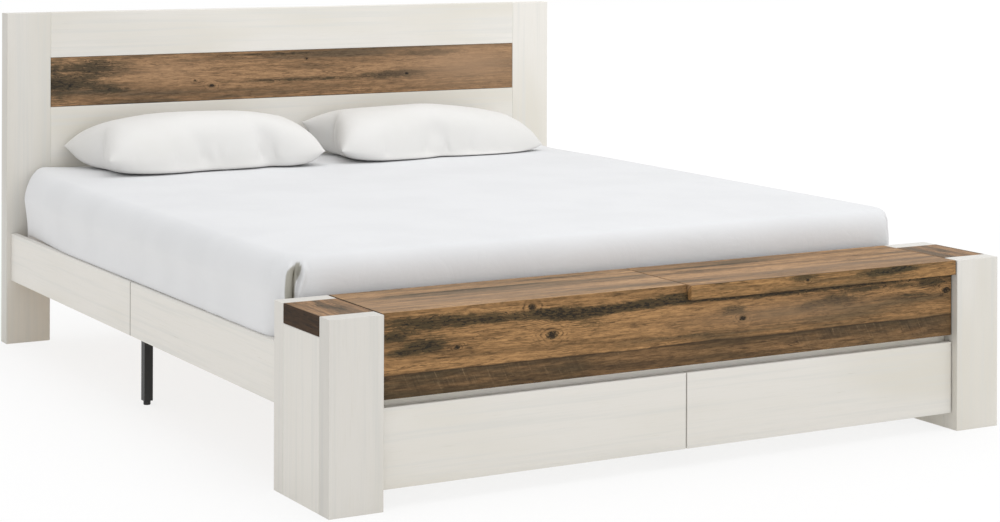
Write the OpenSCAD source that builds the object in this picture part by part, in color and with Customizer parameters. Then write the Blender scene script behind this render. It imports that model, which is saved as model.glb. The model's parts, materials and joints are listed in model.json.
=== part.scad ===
// Panel bed for a king mattress, with a blanket chest as its footboard.
// The origin is on the floor under the middle of the bed, +X is to the right
// seen from the foot end, +Y points to the headboard and +Z points up.
// Every size is in millimetres.

/* [Mattress recess] */
// Clear width between the side rails
recess_w = 1915; // [1365:5:1940]
// Clear length from the chest's back to the headboard's front
recess_l = 2045; // [1915:5:2145]

/* [Boards] */
// Thickness of the chest, drawer front and headboard panels
board_t = 18; // [16:1:22]
// Thickness of the side rails
rail_t = 20; // [18:1:32]
// How far a rail's outer face sits behind the side of the posts and the headboard
rail_inset = 15; // [5:1:30]
// Height of the side rails
rail_h = 148; // [120:1:180]
// Underside of the side rails above the floor
rail_z = 200; // [180:5:230]
// Width of the eased arris on every visible board
ease = 1.2; // [0.5:0.1:2]
// Visible seam left between two boards that lie side by side
seam = 3; // [1:0.5:5]

/* [Footboard posts] */
// Width of a post, across the bed
post_w = 140; // [110:5:180]
// Thickness of a post's front and back panels
post_panel_t = 52; // [38:1:60]
// Height of the posts and of the chest's top
chest_h = 453; // [430:1:500]
// Depth of the posts and of the chest
chest_d = 302; // [280:2:360]
// Height of the wooden cap let into the top of each post
cap_h = 47.5; // [30:0.5:60]

/* [Blanket chest] */
// How far the chest's front sits behind the posts' front
front_setback = 20; // [19:1:30]
// Clearance between the chest's boards and the posts
chest_end_gap = 3; // [1:0.5:5]
// Underside of the brown front above the floor
front_z = 252; // [240:2:270]
// Height of the lid's front lip
lip_h = 38; // [35:1:60]
// Width of the rail on which the lid's end and the fixed top rest
rest_rail_w = 60; // [40:5:90]
// Widest angle to which the lid opens
lid_open_deg = 80; // [60:1:82]

/* [Drawers] */
// Underside of the drawer fronts above the floor
drawer_z = 45; // [35:1:60]
// Height of the finger groove above the drawer fronts
groove_h = 18; // [16:1:30]
// Distance from the drawer fronts' face back to the groove's white rail
groove_depth = 32; // [30:1:45]
// How far a drawer pulls out
drawer_travel = 190; // [120:5:200]
// Thickness of the drawer box boards
drawer_side_t = 12; // [10:1:16]
// Thickness of the drawer's bottom
drawer_bottom_t = 5; // [3:0.5:8]
// Side room that a drawer slide needs
slide_room = 12.7; // [12.5:0.1:13.5]
// Height of a drawer slide
slide_h = 36; // [30:1:45]

/* [Headboard] */
// Height of the headboard
head_h = 1042; // [950:2:1250]
// Thickness of the headboard's stiles and top rail
head_t = 54; // [40:1:60]
// Width of a stile, which is also the headboard's leg
stile_w = 143; // [110:1:180]
// Height of the top rail
top_rail_h = 143; // [100:1:180]
// Height of the brown inlay band
inlay_h = 158; // [100:2:220]
// Setback of the inlay behind the stiles' face
inlay_setback = 1.5; // [0.5:0.5:6]
// Width of an upright batten behind the panels
batten_w = 70; // [40:5:100]

/* [Slats and supports] */
// Number of slats on each side of the centre beam
slat_count = 14; // [9:1:16]
// Width of a slat
slat_w = 70; // [50:1:90]
// Thickness of a slat
slat_t = 12; // [10:1:18]
// Top of the slats above the floor
slat_top_z = 296; // [286:2:320]
// Width of the ledge that carries the slats
ledge_w = 22; // [18:1:30]
// Height of the ledge
ledge_h = 28; // [20:1:40]
// Thickness of the board that joins the two halves of a side rail
joiner_t = 10; // [8:1:14]
// Width of the centre beam
beam_w = 60; // [45:1:80]
// Height of the centre beam
beam_h = 60; // [45:1:75]
// Side of the square tube of a support leg
leg_tube = 25; // [20:1:30]
// Wall of that tube
leg_wall = 1.5; // [1.2:0.1:2.5]
// Diameter of a support leg's levelling foot
foot_d = 20; // [16:1:24]

/* [Mattress and pillows] */
// Height of the mattress
mattress_h = 254; // [200:2:300]
// Room between the mattress and each side rail
mattress_side_gap = 14; // [12:1:30]
// Room between the sheet and the lid when the lid is wide open
lid_room = 4; // [3:0.5:15]
// Thickness of the fitted sheet
sheet_t = 1.2; // [0.6:0.1:2]
// Width of a pillow
pillow_w = 804; // [600:2:900]
// Depth of a pillow
pillow_d = 385; // [380:5:500]
// Thickness of a plump pillow
pillow_t = 170; // [120:2:200]

/* [Hardware] */
// Radius of a lid hinge's knuckle
knuckle_r = 4; // [3.5:0.1:4.4]
// Radius of a lid hinge's pin
pin_r = 2; // [1.5:0.1:2.2]
// Length of one lid hinge
hinge_l = 75; // [60:5:100]
// Radius of the bolts that hold the side rails
bolt_r = 4; // [3:0.5:5]

/* [Hidden] */
$fn = 48;

LEFT = -1;
RIGHT = 1;
// Clearance at pieces that slide or swing on each other
run_gap = 0.3;
// Thin overlap that makes a cut pass through a face
cut_over = 1;
// Air between the mattress and the sheet over it
sheet_clear = 0.3;

// Overall width over the posts and the headboard, and overall length
foot_w = recess_w + 2*rail_t + 2*rail_inset;
overall_l = chest_d + recess_l + head_t;
// Main planes along Y: posts' front, chest front's face, chest's back, headboard's face
y_front = -overall_l/2;
y_chest = y_front + front_setback;
y_back = y_front + chest_d;
y_head = y_back + recess_l;
y_end = y_head + head_t;
// Half widths: over the posts, between the posts, between and over the rails
x_out = foot_w/2;
x_post = x_out - post_w;
x_rail = recess_w/2;
x_rail_out = x_rail + rail_t;
x_chest = x_post - chest_end_gap;
rail_top = rail_z + rail_h;
// Places of the two rail boards' seam and of the levels inside the chest
y_seam = (y_back + y_head)/2 - 27;
under_top_z = chest_h - board_t;
cap_z = chest_h - cap_h;
drawer_top_z = front_z - groove_h;
y_groove = y_chest + groove_depth;
y_back_in = y_back - board_t;
// The groove's rail hangs below the chest's floor
groove_drop = 40;
groove_rail_z = front_z - groove_drop;

// A bar along Z with its four long edges eased
module eased_bar(w, d, h, e) {
    linear_extrude(h) polygon([
        [e, 0], [w - e, 0], [w, e], [w, d - e],
        [w - e, d], [e, d], [0, d - e], [0, e]
    ]);
}

// A board between two corners with all twelve arrises eased
module board(lo, hi, e = ease) {
    size = hi - lo;
    translate(lo) intersection() {
        eased_bar(size[0], size[1], size[2], e);
        translate([0, size[1], 0]) rotate([90, 0, 0]) eased_bar(size[0], size[2], size[1], e);
        rotate([90, 0, 90]) eased_bar(size[1], size[2], size[0], e);
    }
}

// A plain block between two corners
module block(lo, hi) {
    translate(lo) cube(hi - lo);
}

// The same block on the left or the right: x runs outwards from the middle
function side_lo(s, x0, x1, y, z) = [s > 0 ? x0 : -x1, y, z];
function side_hi(s, x0, x1, y, z) = [s > 0 ? x1 : -x0, y, z];

// ---------------------------------------------------------------- headboard
x_stile = x_out - stile_w;
top_rail_z = head_h - top_rail_h;
inlay_z = top_rail_z - inlay_h;
panel_z = rail_z;
// Reveal left round the inlay
reveal = 0.6;

module stile(s) {
    color("ivory")
    board(side_lo(s, x_stile, x_out, y_head, 0),
          side_hi(s, x_stile, x_out, y_end, head_h));
}

module headboard_top_rail() {
    color("ivory")
    board([-x_stile, y_head, top_rail_z], [x_stile, y_end, head_h]);
}

module headboard_inlay_panel() {
    color("peru")
    board([-x_stile + reveal, y_head + inlay_setback, inlay_z + reveal],
          [x_stile - reveal, y_head + board_t, top_rail_z - reveal]);
}

module headboard_lower_panel() {
    color("ivory")
    board([-x_stile, y_head, panel_z], [x_stile, y_head + board_t, inlay_z]);
}

// Battens behind the panels: one beside each stile and one in the middle
batten_setback = 2;
batten_x = [-x_stile, -batten_w/2, x_stile - batten_w];
module headboard_back_battens() {
    color("wheat")
    for (x = batten_x)
        board([x, y_head + board_t, panel_z],
              [x + batten_w, y_end - batten_setback, top_rail_z]);
}

// ---------------------------------------------------------------- side rails
module side_rail(s, y0, y1) {
    color("ivory")
    difference() {
        board(side_lo(s, x_rail, x_rail_out, y0, rail_z),
              side_hi(s, x_rail, x_rail_out, y1, rail_top));
        bolt_holes(s);
    }
}

rail_seam = 2;
module rail_head(s) { side_rail(s, y_seam + rail_seam/2, y_head); }
module rail_foot(s) { side_rail(s, y_back, y_seam - rail_seam/2); }

// Board screwed behind both halves of a rail, a little below its top
joiner_drop = 7;
joiner_rise = 6;
module rail_joiner(s) {
    color("wheat")
    difference() {
        board(side_lo(s, x_rail - joiner_t, x_rail, y_back + bracket_t, rail_z + joiner_rise),
              side_hi(s, x_rail - joiner_t, x_rail, y_head - bracket_t, rail_top - joiner_drop));
        bolt_holes(s);
    }
}

x_ledge = x_rail - joiner_t;
slat_z = slat_top_z - slat_t;
ledge_z = slat_z - ledge_h;
module slat_ledges() {
    color("wheat")
    for (s = [LEFT, RIGHT])
        board(side_lo(s, x_ledge - ledge_w, x_ledge, y_back + ledge_end, ledge_z),
              side_hi(s, x_ledge - ledge_w, x_ledge, y_head - ledge_end, slat_z));
}
// The ledges stop short of the corner brackets
ledge_end = 45;

// Steel angle in each corner: one flange on the post or stile, one on the rail's joiner
bracket_t = 3;
bracket_w = 34;
bracket_h = 90;
bracket_z = rail_z + 30;
bracket_arm = ledge_end - bracket_t - 2;
module bracket(s, y, dir) {
    y_flange = dir > 0 ? y : y - bracket_t;
    y_arm = dir > 0 ? y + bracket_t : y - bracket_t - bracket_arm;
    block(side_lo(s, x_ledge - bracket_w, x_rail, y_flange, bracket_z),
          side_hi(s, x_ledge - bracket_w, x_rail, y_flange + bracket_t, bracket_z + bracket_h));
    difference() {
        block(side_lo(s, x_ledge - bracket_t, x_ledge, y_arm, bracket_z),
              side_hi(s, x_ledge - bracket_t, x_ledge, y_arm + bracket_arm, bracket_z + bracket_h));
        bolt_holes(s);
    }
}
module rail_brackets() {
    color("dimgray")
    for (s = [LEFT, RIGHT]) {
        bracket(s, y_back, 1);
        bracket(s, y_head, -1);
    }
}

// Two bolts at each corner, through the bracket and the joiner into the rail
bolt_inset = 24;
bolt_rise = 28;
bolt_head_r = 7;
bolt_head_t = 3;
bolt_bite = 15;
bolt_l = bracket_t + joiner_t + bolt_bite;
bolt_y = [y_back + bolt_inset, y_head - bolt_inset];
bolt_z = [bracket_z + bolt_rise, bracket_z + bracket_h - bolt_rise];
// A rod along X that starts at the bracket's inner face and runs outwards
module bolt_rod(s, y, z, r, x0, l) {
    translate([s*(x_ledge - bracket_t + x0), y, z]) rotate([0, s*90, 0]) cylinder(r = r, h = l);
}
module bolt_holes(s) {
    for (y = bolt_y, z = bolt_z)
        bolt_rod(s, y, z, bolt_r + run_gap, -cut_over, bolt_l + cut_over + run_gap);
}
module rail_bolts() {
    color("silver")
    for (s = [LEFT, RIGHT], y = bolt_y, z = bolt_z) {
        bolt_rod(s, y, z, bolt_r, 0, bolt_l);
        bolt_rod(s, y, z, bolt_head_r, -bolt_head_t, bolt_head_t);
    }
}

// ---------------------------------------------------------------- slats, beam and legs
// A small gap in the middle leaves room for the beam's centre line
slat_gap = 4;
slat_end = 60;
slat_pitch = (recess_l - 2*slat_end - slat_w)/(slat_count - 1);
module slats(s) {
    color("burlywood")
    for (i = [0 : slat_count - 1]) {
        y = y_back + slat_end + i*slat_pitch;
        board(side_lo(s, slat_gap/2, x_ledge, y, slat_z),
              side_hi(s, slat_gap/2, x_ledge, y + slat_w, slat_top_z), ease/2);
    }
}

beam_z = slat_z - beam_h;
module centre_beam() {
    color("wheat")
    board([-beam_w/2, y_back + hanger_t, beam_z], [beam_w/2, y_head - hanger_t, slat_z]);
}

// U-shaped steel hangers carry the beam's two ends
hanger_t = 3;
hanger_arm = 40;
hanger_wing = 20;
module beam_hanger(y, dir) {
    y_plate = dir > 0 ? y : y - hanger_t;
    y_cup = dir > 0 ? y + hanger_t : y - hanger_t - hanger_arm;
    half = beam_w/2 + hanger_t;
    block([-half - hanger_wing, y_plate, beam_z - hanger_t],
          [half + hanger_wing, y_plate + hanger_t, slat_z]);
    difference() {
        block([-half, y_cup, beam_z - hanger_t], [half, y_cup + hanger_arm, slat_z]);
        block([-beam_w/2, y_cup - cut_over, beam_z],
              [beam_w/2, y_cup + hanger_arm + cut_over, slat_z + cut_over]);
    }
}
module beam_hangers() {
    color("dimgray") {
        beam_hanger(y_back, 1);
        beam_hanger(y_head, -1);
    }
}

// Square steel legs: three under the beam, one under each side rail's seam
foot_h = 12;
leg_plate_t = 3;
leg_plate = 56;
leg_inset = 17;
leg_out = x_ledge - leg_tube/2 - leg_inset;
leg_y_side = y_seam + 24;
beam_leg_y = [y_back + recess_l/6, (y_back + y_head)/2, y_head - recess_l/6];
leg_places = concat(
    [for (y = beam_leg_y) [0, y, beam_z]],
    [for (s = [LEFT, RIGHT]) [s*leg_out, leg_y_side, ledge_z]]
);
module support_leg(p) {
    translate([p[0], p[1], 0]) {
        difference() {
            translate([-leg_tube/2, -leg_tube/2, foot_h])
                cube([leg_tube, leg_tube, p[2] - leg_plate_t - foot_h]);
            translate([-leg_tube/2 + leg_wall, -leg_tube/2 + leg_wall, foot_h - cut_over])
                cube([leg_tube - 2*leg_wall, leg_tube - 2*leg_wall,
                      p[2] - leg_plate_t - foot_h + cut_over]);
        }
        translate([-leg_plate/2, -leg_plate/2, p[2] - leg_plate_t])
            cube([leg_plate, leg_plate, leg_plate_t]);
    }
}
module support_legs() {
    color("black")
    for (p = leg_places) support_leg(p);
}

// Round foot with a plug that fills the end of the tube
foot_plug = 10;
module leg_feet() {
    color("black")
    for (p = leg_places)
        translate([p[0], p[1], 0]) {
            rotate_extrude() polygon([
                [0, 0], [foot_d/2 - ease, 0], [foot_d/2, ease],
                [foot_d/2, foot_h], [0, foot_h]
            ]);
            translate([-leg_tube/2 + leg_wall, -leg_tube/2 + leg_wall, foot_h])
                cube([leg_tube - 2*leg_wall, leg_tube - 2*leg_wall, foot_plug]);
        }
}

// ---------------------------------------------------------------- footboard posts
module post_thick_panel(s, y) {
    color("ivory")
    board(side_lo(s, x_post, x_out, y, 0),
          side_hi(s, x_post, x_out, y + post_panel_t, chest_h));
}
module post_front_panel(s) { post_thick_panel(s, y_front); }
module post_back_panel(s) { post_thick_panel(s, y_back - post_panel_t); }

y_post_in = y_front + post_panel_t;
y_post_out = y_back - post_panel_t;
module post_outer_panel(s) {
    color("ivory")
    board(side_lo(s, x_out - board_t, x_out, y_post_in, 0),
          side_hi(s, x_out - board_t, x_out, y_post_out, cap_z));
}
module post_inner_panel(s) {
    color("ivory")
    board(side_lo(s, x_post, x_post + board_t, y_post_in, 0),
          side_hi(s, x_post, x_post + board_t, y_post_out, cap_z));
}
module post_cap(s) {
    color("saddlebrown")
    board(side_lo(s, x_post, x_out, y_post_in, cap_z),
          side_hi(s, x_post, x_out, y_post_out, chest_h));
}

// ---------------------------------------------------------------- blanket chest
// What lies above a 45 degree mitre that falls back from the arris at [y, z], or below it
module mitre_side(y, z, above) {
    reach = 3*board_t;
    far_corner = above ? [y + reach, z + reach] : [y - reach, z - reach];
    translate([-x_out, 0, 0]) rotate([90, 0, 90])
        linear_extrude(2*x_out)
            polygon(above
                ? [[y - reach, z + reach], [y + reach, z - reach], far_corner]
                : [[y + reach, z - reach], [y - reach, z + reach], far_corner]);
}

// The front rises to a mitre with the fixed top and stays under the lid on the right
module chest_front_panel() {
    color("peru")
    difference() {
        board([-x_chest, y_chest, front_z], [x_chest, y_chest + board_t, chest_h]);
        block([-seam/2, y_chest - cut_over, under_top_z],
              [x_chest + cut_over, y_chest + board_t + cut_over, chest_h + cut_over]);
        mitre_side(y_chest, chest_h, true);
    }
}

module chest_back_panel() {
    color("ivory")
    board([-x_post, y_back_in, drawer_z], [x_post, y_back, under_top_z]);
}

module chest_floor() {
    color("ivory")
    block([-x_post, y_chest + board_t, front_z], [x_post, y_back_in, front_z + board_t]);
}

module groove_rail() {
    color("ivory")
    board([-x_post, y_groove, groove_rail_z], [x_post, y_groove + board_t, front_z]);
}

// Upright between the two drawers, under the chest's floor
module drawer_partition() {
    color("ivory")
    difference() {
        block([-board_t/2, y_chest + board_t + run_gap, drawer_z],
              [board_t/2, y_back_in, front_z]);
        block([-board_t, y_chest, groove_rail_z],
              [board_t, y_groove + board_t, front_z + cut_over]);
    }
}

// Black foot under the partition's back end, out of sight
partition_foot_w = 40;
module partition_foot() {
    color("black")
    board([-partition_foot_w/2, y_back_in - partition_foot_w, 0],
          [partition_foot_w/2, y_back, drawer_z]);
}

module chest_top_fixed() {
    color("peru")
    difference() {
        board([-x_chest, y_chest, under_top_z], [-seam/2, y_back, chest_h]);
        mitre_side(y_chest, chest_h, false);
    }
}

module lid_rest_rail() {
    color("wheat")
    board([-rest_rail_w/2, y_chest + board_t, under_top_z - board_t],
          [rest_rail_w/2, y_back_in, under_top_z]);
}

// ---------------------------------------------------------------- lid and its hinges
// The lid's board and its lip are as thick as each other and meet in a mitre
lid_x0 = seam/2;
lid_t = board_t - run_gap;
y_lip = y_chest - run_gap - lid_t;
module lid_board() {
    color("peru")
    difference() {
        board([lid_x0, y_lip, chest_h - lid_t], [x_chest, y_back, chest_h]);
        mitre_side(y_lip, chest_h, false);
    }
}
module lid_lip() {
    color("burlywood")
    difference() {
        board([lid_x0, y_lip, chest_h - lip_h], [x_chest, y_lip + lid_t, chest_h]);
        mitre_side(y_lip, chest_h, true);
    }
}

// Butt hinges behind the chest: the pin lies level with the lid's underside
leaf_t = 1.5;
leaf_h = 26;
knuckles = 5;
pin_clear = 0.05;
knuckle_gap = 0.4;
axis_y = y_back + knuckle_r + knuckle_gap;
axis_z = under_top_z;
knuckle_l = hinge_l/knuckles;
hinge_count = 3;
hinge_inset = 90;
lid_w = x_chest - lid_x0;
hinge_x = [for (i = [0 : hinge_count - 1])
    lid_x0 + hinge_inset + i*(lid_w - 2*hinge_inset - hinge_l)/(hinge_count - 1)];

// A row of knuckles, counted from "first" in steps of two, bored for the pin
module knuckle_row(first) {
    for (k = [first : 2 : knuckles - 1])
        translate([k*knuckle_l + run_gap/2, 0, 0]) rotate([0, 90, 0])
            difference() {
                cylinder(r = knuckle_r, h = knuckle_l - run_gap);
                translate([0, 0, -cut_over])
                    cylinder(r = pin_r + pin_clear, h = knuckle_l + 2*cut_over);
            }
}

// Clears the other leaf's knuckles and the pin's bore out of a leaf's plate
module knuckle_room(first) {
    reach = knuckle_r + knuckle_gap;
    for (k = [first : 2 : knuckles - 1])
        block([k*knuckle_l - run_gap/2, -reach, -reach],
              [(k + 1)*knuckle_l + run_gap/2, reach, reach]);
    translate([-cut_over, 0, 0]) rotate([0, 90, 0])
        cylinder(r = pin_r + pin_clear, h = hinge_l + 2*cut_over);
}

lid_leaf_h = board_t - run_gap - ease;
module hinge_leaf(first, z0, z1) {
    knuckle_row(first);
    difference() {
        block([run_gap/2, y_back - axis_y, z0], [hinge_l - run_gap/2, y_back - axis_y + leaf_t, z1]);
        knuckle_room(1 - first);
    }
}
module hinge_lid_leaves() {
    color("silver")
    for (x = hinge_x)
        translate([x, axis_y, axis_z]) hinge_leaf(1, 0.5, lid_leaf_h);
}
module hinge_chest_leaves() {
    color("silver")
    for (x = hinge_x)
        translate([x, axis_y, axis_z]) hinge_leaf(0, -leaf_h, -0.5);
}
pin_head_t = 1;
module hinge_pins() {
    color("gray")
    for (x = hinge_x)
        translate([x - pin_head_t, axis_y, axis_z]) rotate([0, 90, 0]) {
            cylinder(r = pin_r + 1, h = pin_head_t);
            cylinder(r = pin_r, h = hinge_l + pin_head_t);
            translate([0, 0, hinge_l + pin_head_t]) cylinder(r = pin_r + 1, h = pin_head_t);
        }
}

// ---------------------------------------------------------------- drawers
drawer_box_rise = 17;
box_z0 = drawer_z + drawer_box_rise;
box_z1 = groove_rail_z - 8;
drawer_front_x0 = seam/2;
// The box sits between the partition and the post, a slide's room from each
box_x0 = board_t/2 + slide_room;
box_x1 = x_post - slide_room;
box_y0 = y_chest + board_t;
box_back_gap = 14;
box_y1 = y_back_in - box_back_gap;
groove_in = drawer_side_t/2;
bottom_rise = 8;

module drawer_front(s) {
    color("ivory")
    board(side_lo(s, drawer_front_x0, x_chest, y_chest, drawer_z),
          side_hi(s, drawer_front_x0, x_chest, y_chest + board_t, drawer_top_z));
}

// The two sides of a drawer box, grooved for its bottom
module drawer_sides(s) {
    color("white")
    for (x = [box_x0, box_x1 - drawer_side_t])
        difference() {
            block(side_lo(s, x, x + drawer_side_t, box_y0, box_z0),
                  side_hi(s, x, x + drawer_side_t, box_y1, box_z1));
            block(side_lo(s, box_x0 + groove_in, box_x1 - groove_in, box_y0 - cut_over,
                          box_z0 + bottom_rise),
                  side_hi(s, box_x0 + groove_in, box_x1 - groove_in, box_y1 - drawer_side_t,
                          box_z0 + bottom_rise + drawer_bottom_t));
        }
}

module drawer_back(s) {
    color("white")
    block(side_lo(s, box_x0 + drawer_side_t, box_x1 - drawer_side_t,
                  box_y1 - drawer_side_t, box_z0 + bottom_rise),
          side_hi(s, box_x0 + drawer_side_t, box_x1 - drawer_side_t,
                  box_y1, box_z1));
}

module drawer_bottom(s) {
    color("linen")
    block(side_lo(s, box_x0 + groove_in, box_x1 - groove_in, box_y0, box_z0 + bottom_rise),
          side_hi(s, box_x0 + groove_in, box_x1 - groove_in, box_y1 - drawer_side_t,
                  box_z0 + bottom_rise + drawer_bottom_t));
}

// Steel channels on the posts and on the partition, and the runners in them
channel_t = 1.5;
channel_depth = 9;
slide_overlap = 35;
slide_l = drawer_travel + slide_overlap;
slide_mid_z = (box_z0 + box_z1)/2;
module channel(s, x, inward) {
    // x is the face it is screwed to; inward is +1 if it opens away from the bed's middle
    x0 = inward > 0 ? x : x - channel_depth;
    x_cut = inward > 0 ? x + channel_t : x - channel_depth - cut_over;
    cut_w = channel_depth - channel_t + cut_over;
    y0 = box_y0 + run_gap;
    difference() {
        block(side_lo(s, x0, x0 + channel_depth, y0, slide_mid_z - slide_h/2),
              side_hi(s, x0, x0 + channel_depth, y0 + slide_l, slide_mid_z + slide_h/2));
        block(side_lo(s, x_cut, x_cut + cut_w, y0 - cut_over, slide_mid_z - slide_h/2 + channel_t),
              side_hi(s, x_cut, x_cut + cut_w, y0 + slide_l + cut_over,
                      slide_mid_z + slide_h/2 - channel_t));
    }
}
module cabinet_channels() {
    color("silver")
    for (s = [LEFT, RIGHT]) {
        channel(s, board_t/2, 1);
        channel(s, x_post, -1);
    }
}
runner_reach = slide_room - channel_t - 1;
runner_h = slide_h - 2*channel_t - 2*run_gap;
module drawer_runners(s) {
    color("silver")
    for (x = [box_x0 - runner_reach, box_x1])
        block(side_lo(s, x, x + runner_reach, box_y0, slide_mid_z - runner_h/2),
              side_hi(s, x, x + runner_reach, box_y0 + slide_l, slide_mid_z + runner_h/2));
}

// ---------------------------------------------------------------- mattress and sheet
mat_w = recess_w - 2*mattress_side_gap;
// How far past the chest's back the opened lid's upper face reaches
lid_swing = (axis_y - y_back)*(1 - cos(lid_open_deg)) + board_t*sin(lid_open_deg);
mattress_head_gap = 3;
mat_y0 = y_back + lid_swing + lid_room + sheet_clear + sheet_t;
mat_y1 = y_head - mattress_head_gap;
corner_r_foot = 100;
corner_r_head = 70;
corner_steps = 6;
edge_steps = 3;
crown = 8;
roll_r = 42;
draw_in = 5;

// Outline of the mattress seen from above, drawn in by "inset"
function corner_points(cx, cy, r, a0) =
    [for (i = [0 : corner_steps]) let (a = a0 + 90*i/corner_steps)
        [cx + r*cos(a), cy + r*sin(a)]];
function between(p, q) =
    [for (i = [1 : edge_steps]) p + (q - p)*i/(edge_steps + 1)];
function mattress_outline(inset) =
    let (
        hw = mat_w/2 - inset,
        y0 = mat_y0 + inset,
        y1 = mat_y1 - inset,
        rf = max(corner_r_foot - inset, 12),
        rh = max(corner_r_head - inset, 10),
        c = [
            corner_points(hw - rf, y0 + rf, rf, -90),
            corner_points(hw - rh, y1 - rh, rh, 0),
            corner_points(-hw + rh, y1 - rh, rh, 90),
            corner_points(-hw + rf, y0 + rf, rf, 180)
        ]
    )
    [for (k = [0 : 3]) each concat(c[k], between(c[k][corner_steps], c[(k + 1) % 4][0]))];

// Side profile as pairs of inset and height: rolled edges and a side drawn in at mid-height
roll_steps = 4;
top_z = slat_top_z + mattress_h;
side_profile = concat(
    [for (i = [0 : roll_steps]) let (a = 90*i/roll_steps)
        [roll_r*(1 - sin(a)), slat_top_z + roll_r*(1 - cos(a))]],
    [[draw_in, slat_top_z + mattress_h/2]],
    [for (i = [0 : roll_steps]) let (a = 90*i/roll_steps)
        [roll_r*(1 - cos(a)), top_z - crown - roll_r*(1 - sin(a))]]
);
// The crown rises in from the rolled edge and is flat further in
crown_reach = 250;
crown_profile = [for (k = [1 : 4]) let (t = k/4)
    [roll_r + t*crown_reach, top_z - crown*(1 - t)*(1 - t)]];
mattress_profile = concat(side_profile, crown_profile);

// Closed solid from a stack of rings, from the first ring's cap to the last ring's cap
module ring_stack(rings) {
    n = len(rings[0]);
    m = len(rings);
    centre_low = [for (d = [0 : 2]) [for (p = rings[0]) p[d]]*[for (i = [1 : n]) 1]/n];
    centre_high = [for (d = [0 : 2]) [for (p = rings[m - 1]) p[d]]*[for (i = [1 : n]) 1]/n];
    pts = concat([for (r = rings) each r], [centre_low, centre_high]);
    walls = [for (k = [0 : m - 2], i = [0 : n - 1])
        let (j = (i + 1) % n, a = k*n + i, b = k*n + j, c = (k + 1)*n + j, d = (k + 1)*n + i)
        each [[a, c, b], [a, d, c]]];
    caps = [for (i = [0 : n - 1])
        let (j = (i + 1) % n)
        each [[i, j, m*n], [(m - 1)*n + j, (m - 1)*n + i, m*n + 1]]];
    polyhedron(points = pts, faces = concat(walls, caps), convexity = 4);
}

// Outward direction at point i of the profile, square to the line between its neighbours
function profile_normal(i) =
    let (
        last = len(mattress_profile) - 1,
        along = mattress_profile[min(i + 1, last)] - mattress_profile[max(i - 1, 0)]
    )
    [-along[1], along[0]]/norm(along);

// Rings of the mattress form from the given one up, grown by "grow" for the cloth laid over it
function mattress_rings(first, grow) =
    [for (i = [first : len(mattress_profile) - 1])
        let (q = mattress_profile[i] + grow*profile_normal(i))
        [for (p = mattress_outline(q[0])) [p[0], p[1], q[1]]]];

module mattress() {
    color("whitesmoke")
    ring_stack(mattress_rings(0, 0));
}

// Fitted sheet: a skin over the top and the sides, with its hem at the lower roll
hem_ring = 2;
module fitted_sheet() {
    inner = mattress_rings(hem_ring, sheet_clear);
    outer = mattress_rings(hem_ring, sheet_clear + sheet_t);
    n = len(inner[0]);
    m = len(inner);
    apex = [for (r = [inner[m - 1], outer[m - 1]])
        [for (d = [0 : 2]) [for (p = r) p[d]]*[for (i = [1 : n]) 1]/n]];
    pts = concat([for (r = outer) each r], [for (r = inner) each r], [apex[1], apex[0]]);
    outside = [for (k = [0 : m - 2], i = [0 : n - 1])
        let (j = (i + 1) % n, a = k*n + i, b = k*n + j, c = (k + 1)*n + j, d = (k + 1)*n + i)
        each [[a, c, b], [a, d, c]]];
    inside = [for (k = [0 : m - 2], i = [0 : n - 1])
        let (j = (i + 1) % n, o = m*n,
             a = o + k*n + i, b = o + k*n + j, c = o + (k + 1)*n + j, d = o + (k + 1)*n + i)
        each [[a, b, c], [a, c, d]]];
    hem = [for (i = [0 : n - 1])
        let (j = (i + 1) % n, o = m*n)
        each [[i, j, o + j], [i, o + j, o + i]]];
    tops = [for (i = [0 : n - 1])
        let (j = (i + 1) % n, t = (m - 1)*n, o = m*n)
        each [[t + j, t + i, 2*m*n], [o + t + i, o + t + j, 2*m*n + 1]]];
    color("white")
    polyhedron(points = pts, faces = concat(outside, inside, hem, tops), convexity = 6);
}

// ---------------------------------------------------------------- pillows
// A plump pillow: two domed faces that meet in a seam, with drawn-out corners
pillow_n = 20;
pillow_m = 12;
pillow_rest = slat_top_z + mattress_h + sheet_clear + sheet_t + run_gap;
pillow_gap = 6;
// Each pillow keeps its distance from the mattress's side until the two meet in the middle
pillow_inset = 120;
pillow_x_mid = max((pillow_w + pillow_gap)/2, mat_w/2 - pillow_inset - pillow_w/2);
// Share of the thickness above the seam
pillow_over = 0.64;
// Grid steps from -1 to 1 that lie closer together near the seam
function pillow_step(i, n) = sin(90*(2*i/n - 1));
// The ends taper like a lens and the long sides stay full
function pillow_dome(u, v) = pow(1 - pow(abs(u), 2.6), 0.75)*pow(1 - pow(abs(v), 2.6), 0.55);
function pillow_x(u, v) = pillow_w/2*u*(1 - 0.06*(1 - v*v)*u*u);
function pillow_y(u, v) = pillow_d/2*v*(1 - 0.05*(1 - u*u)*v*v);
function pillow_high(u, v) = pillow_t*pillow_over*pillow_dome(u, v);
// The under side is flatter, because the pillow lies on the mattress
function pillow_low(u, v) = -pillow_t*(1 - pillow_over)*min(1, 1.5*pillow_dome(u, v));
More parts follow.
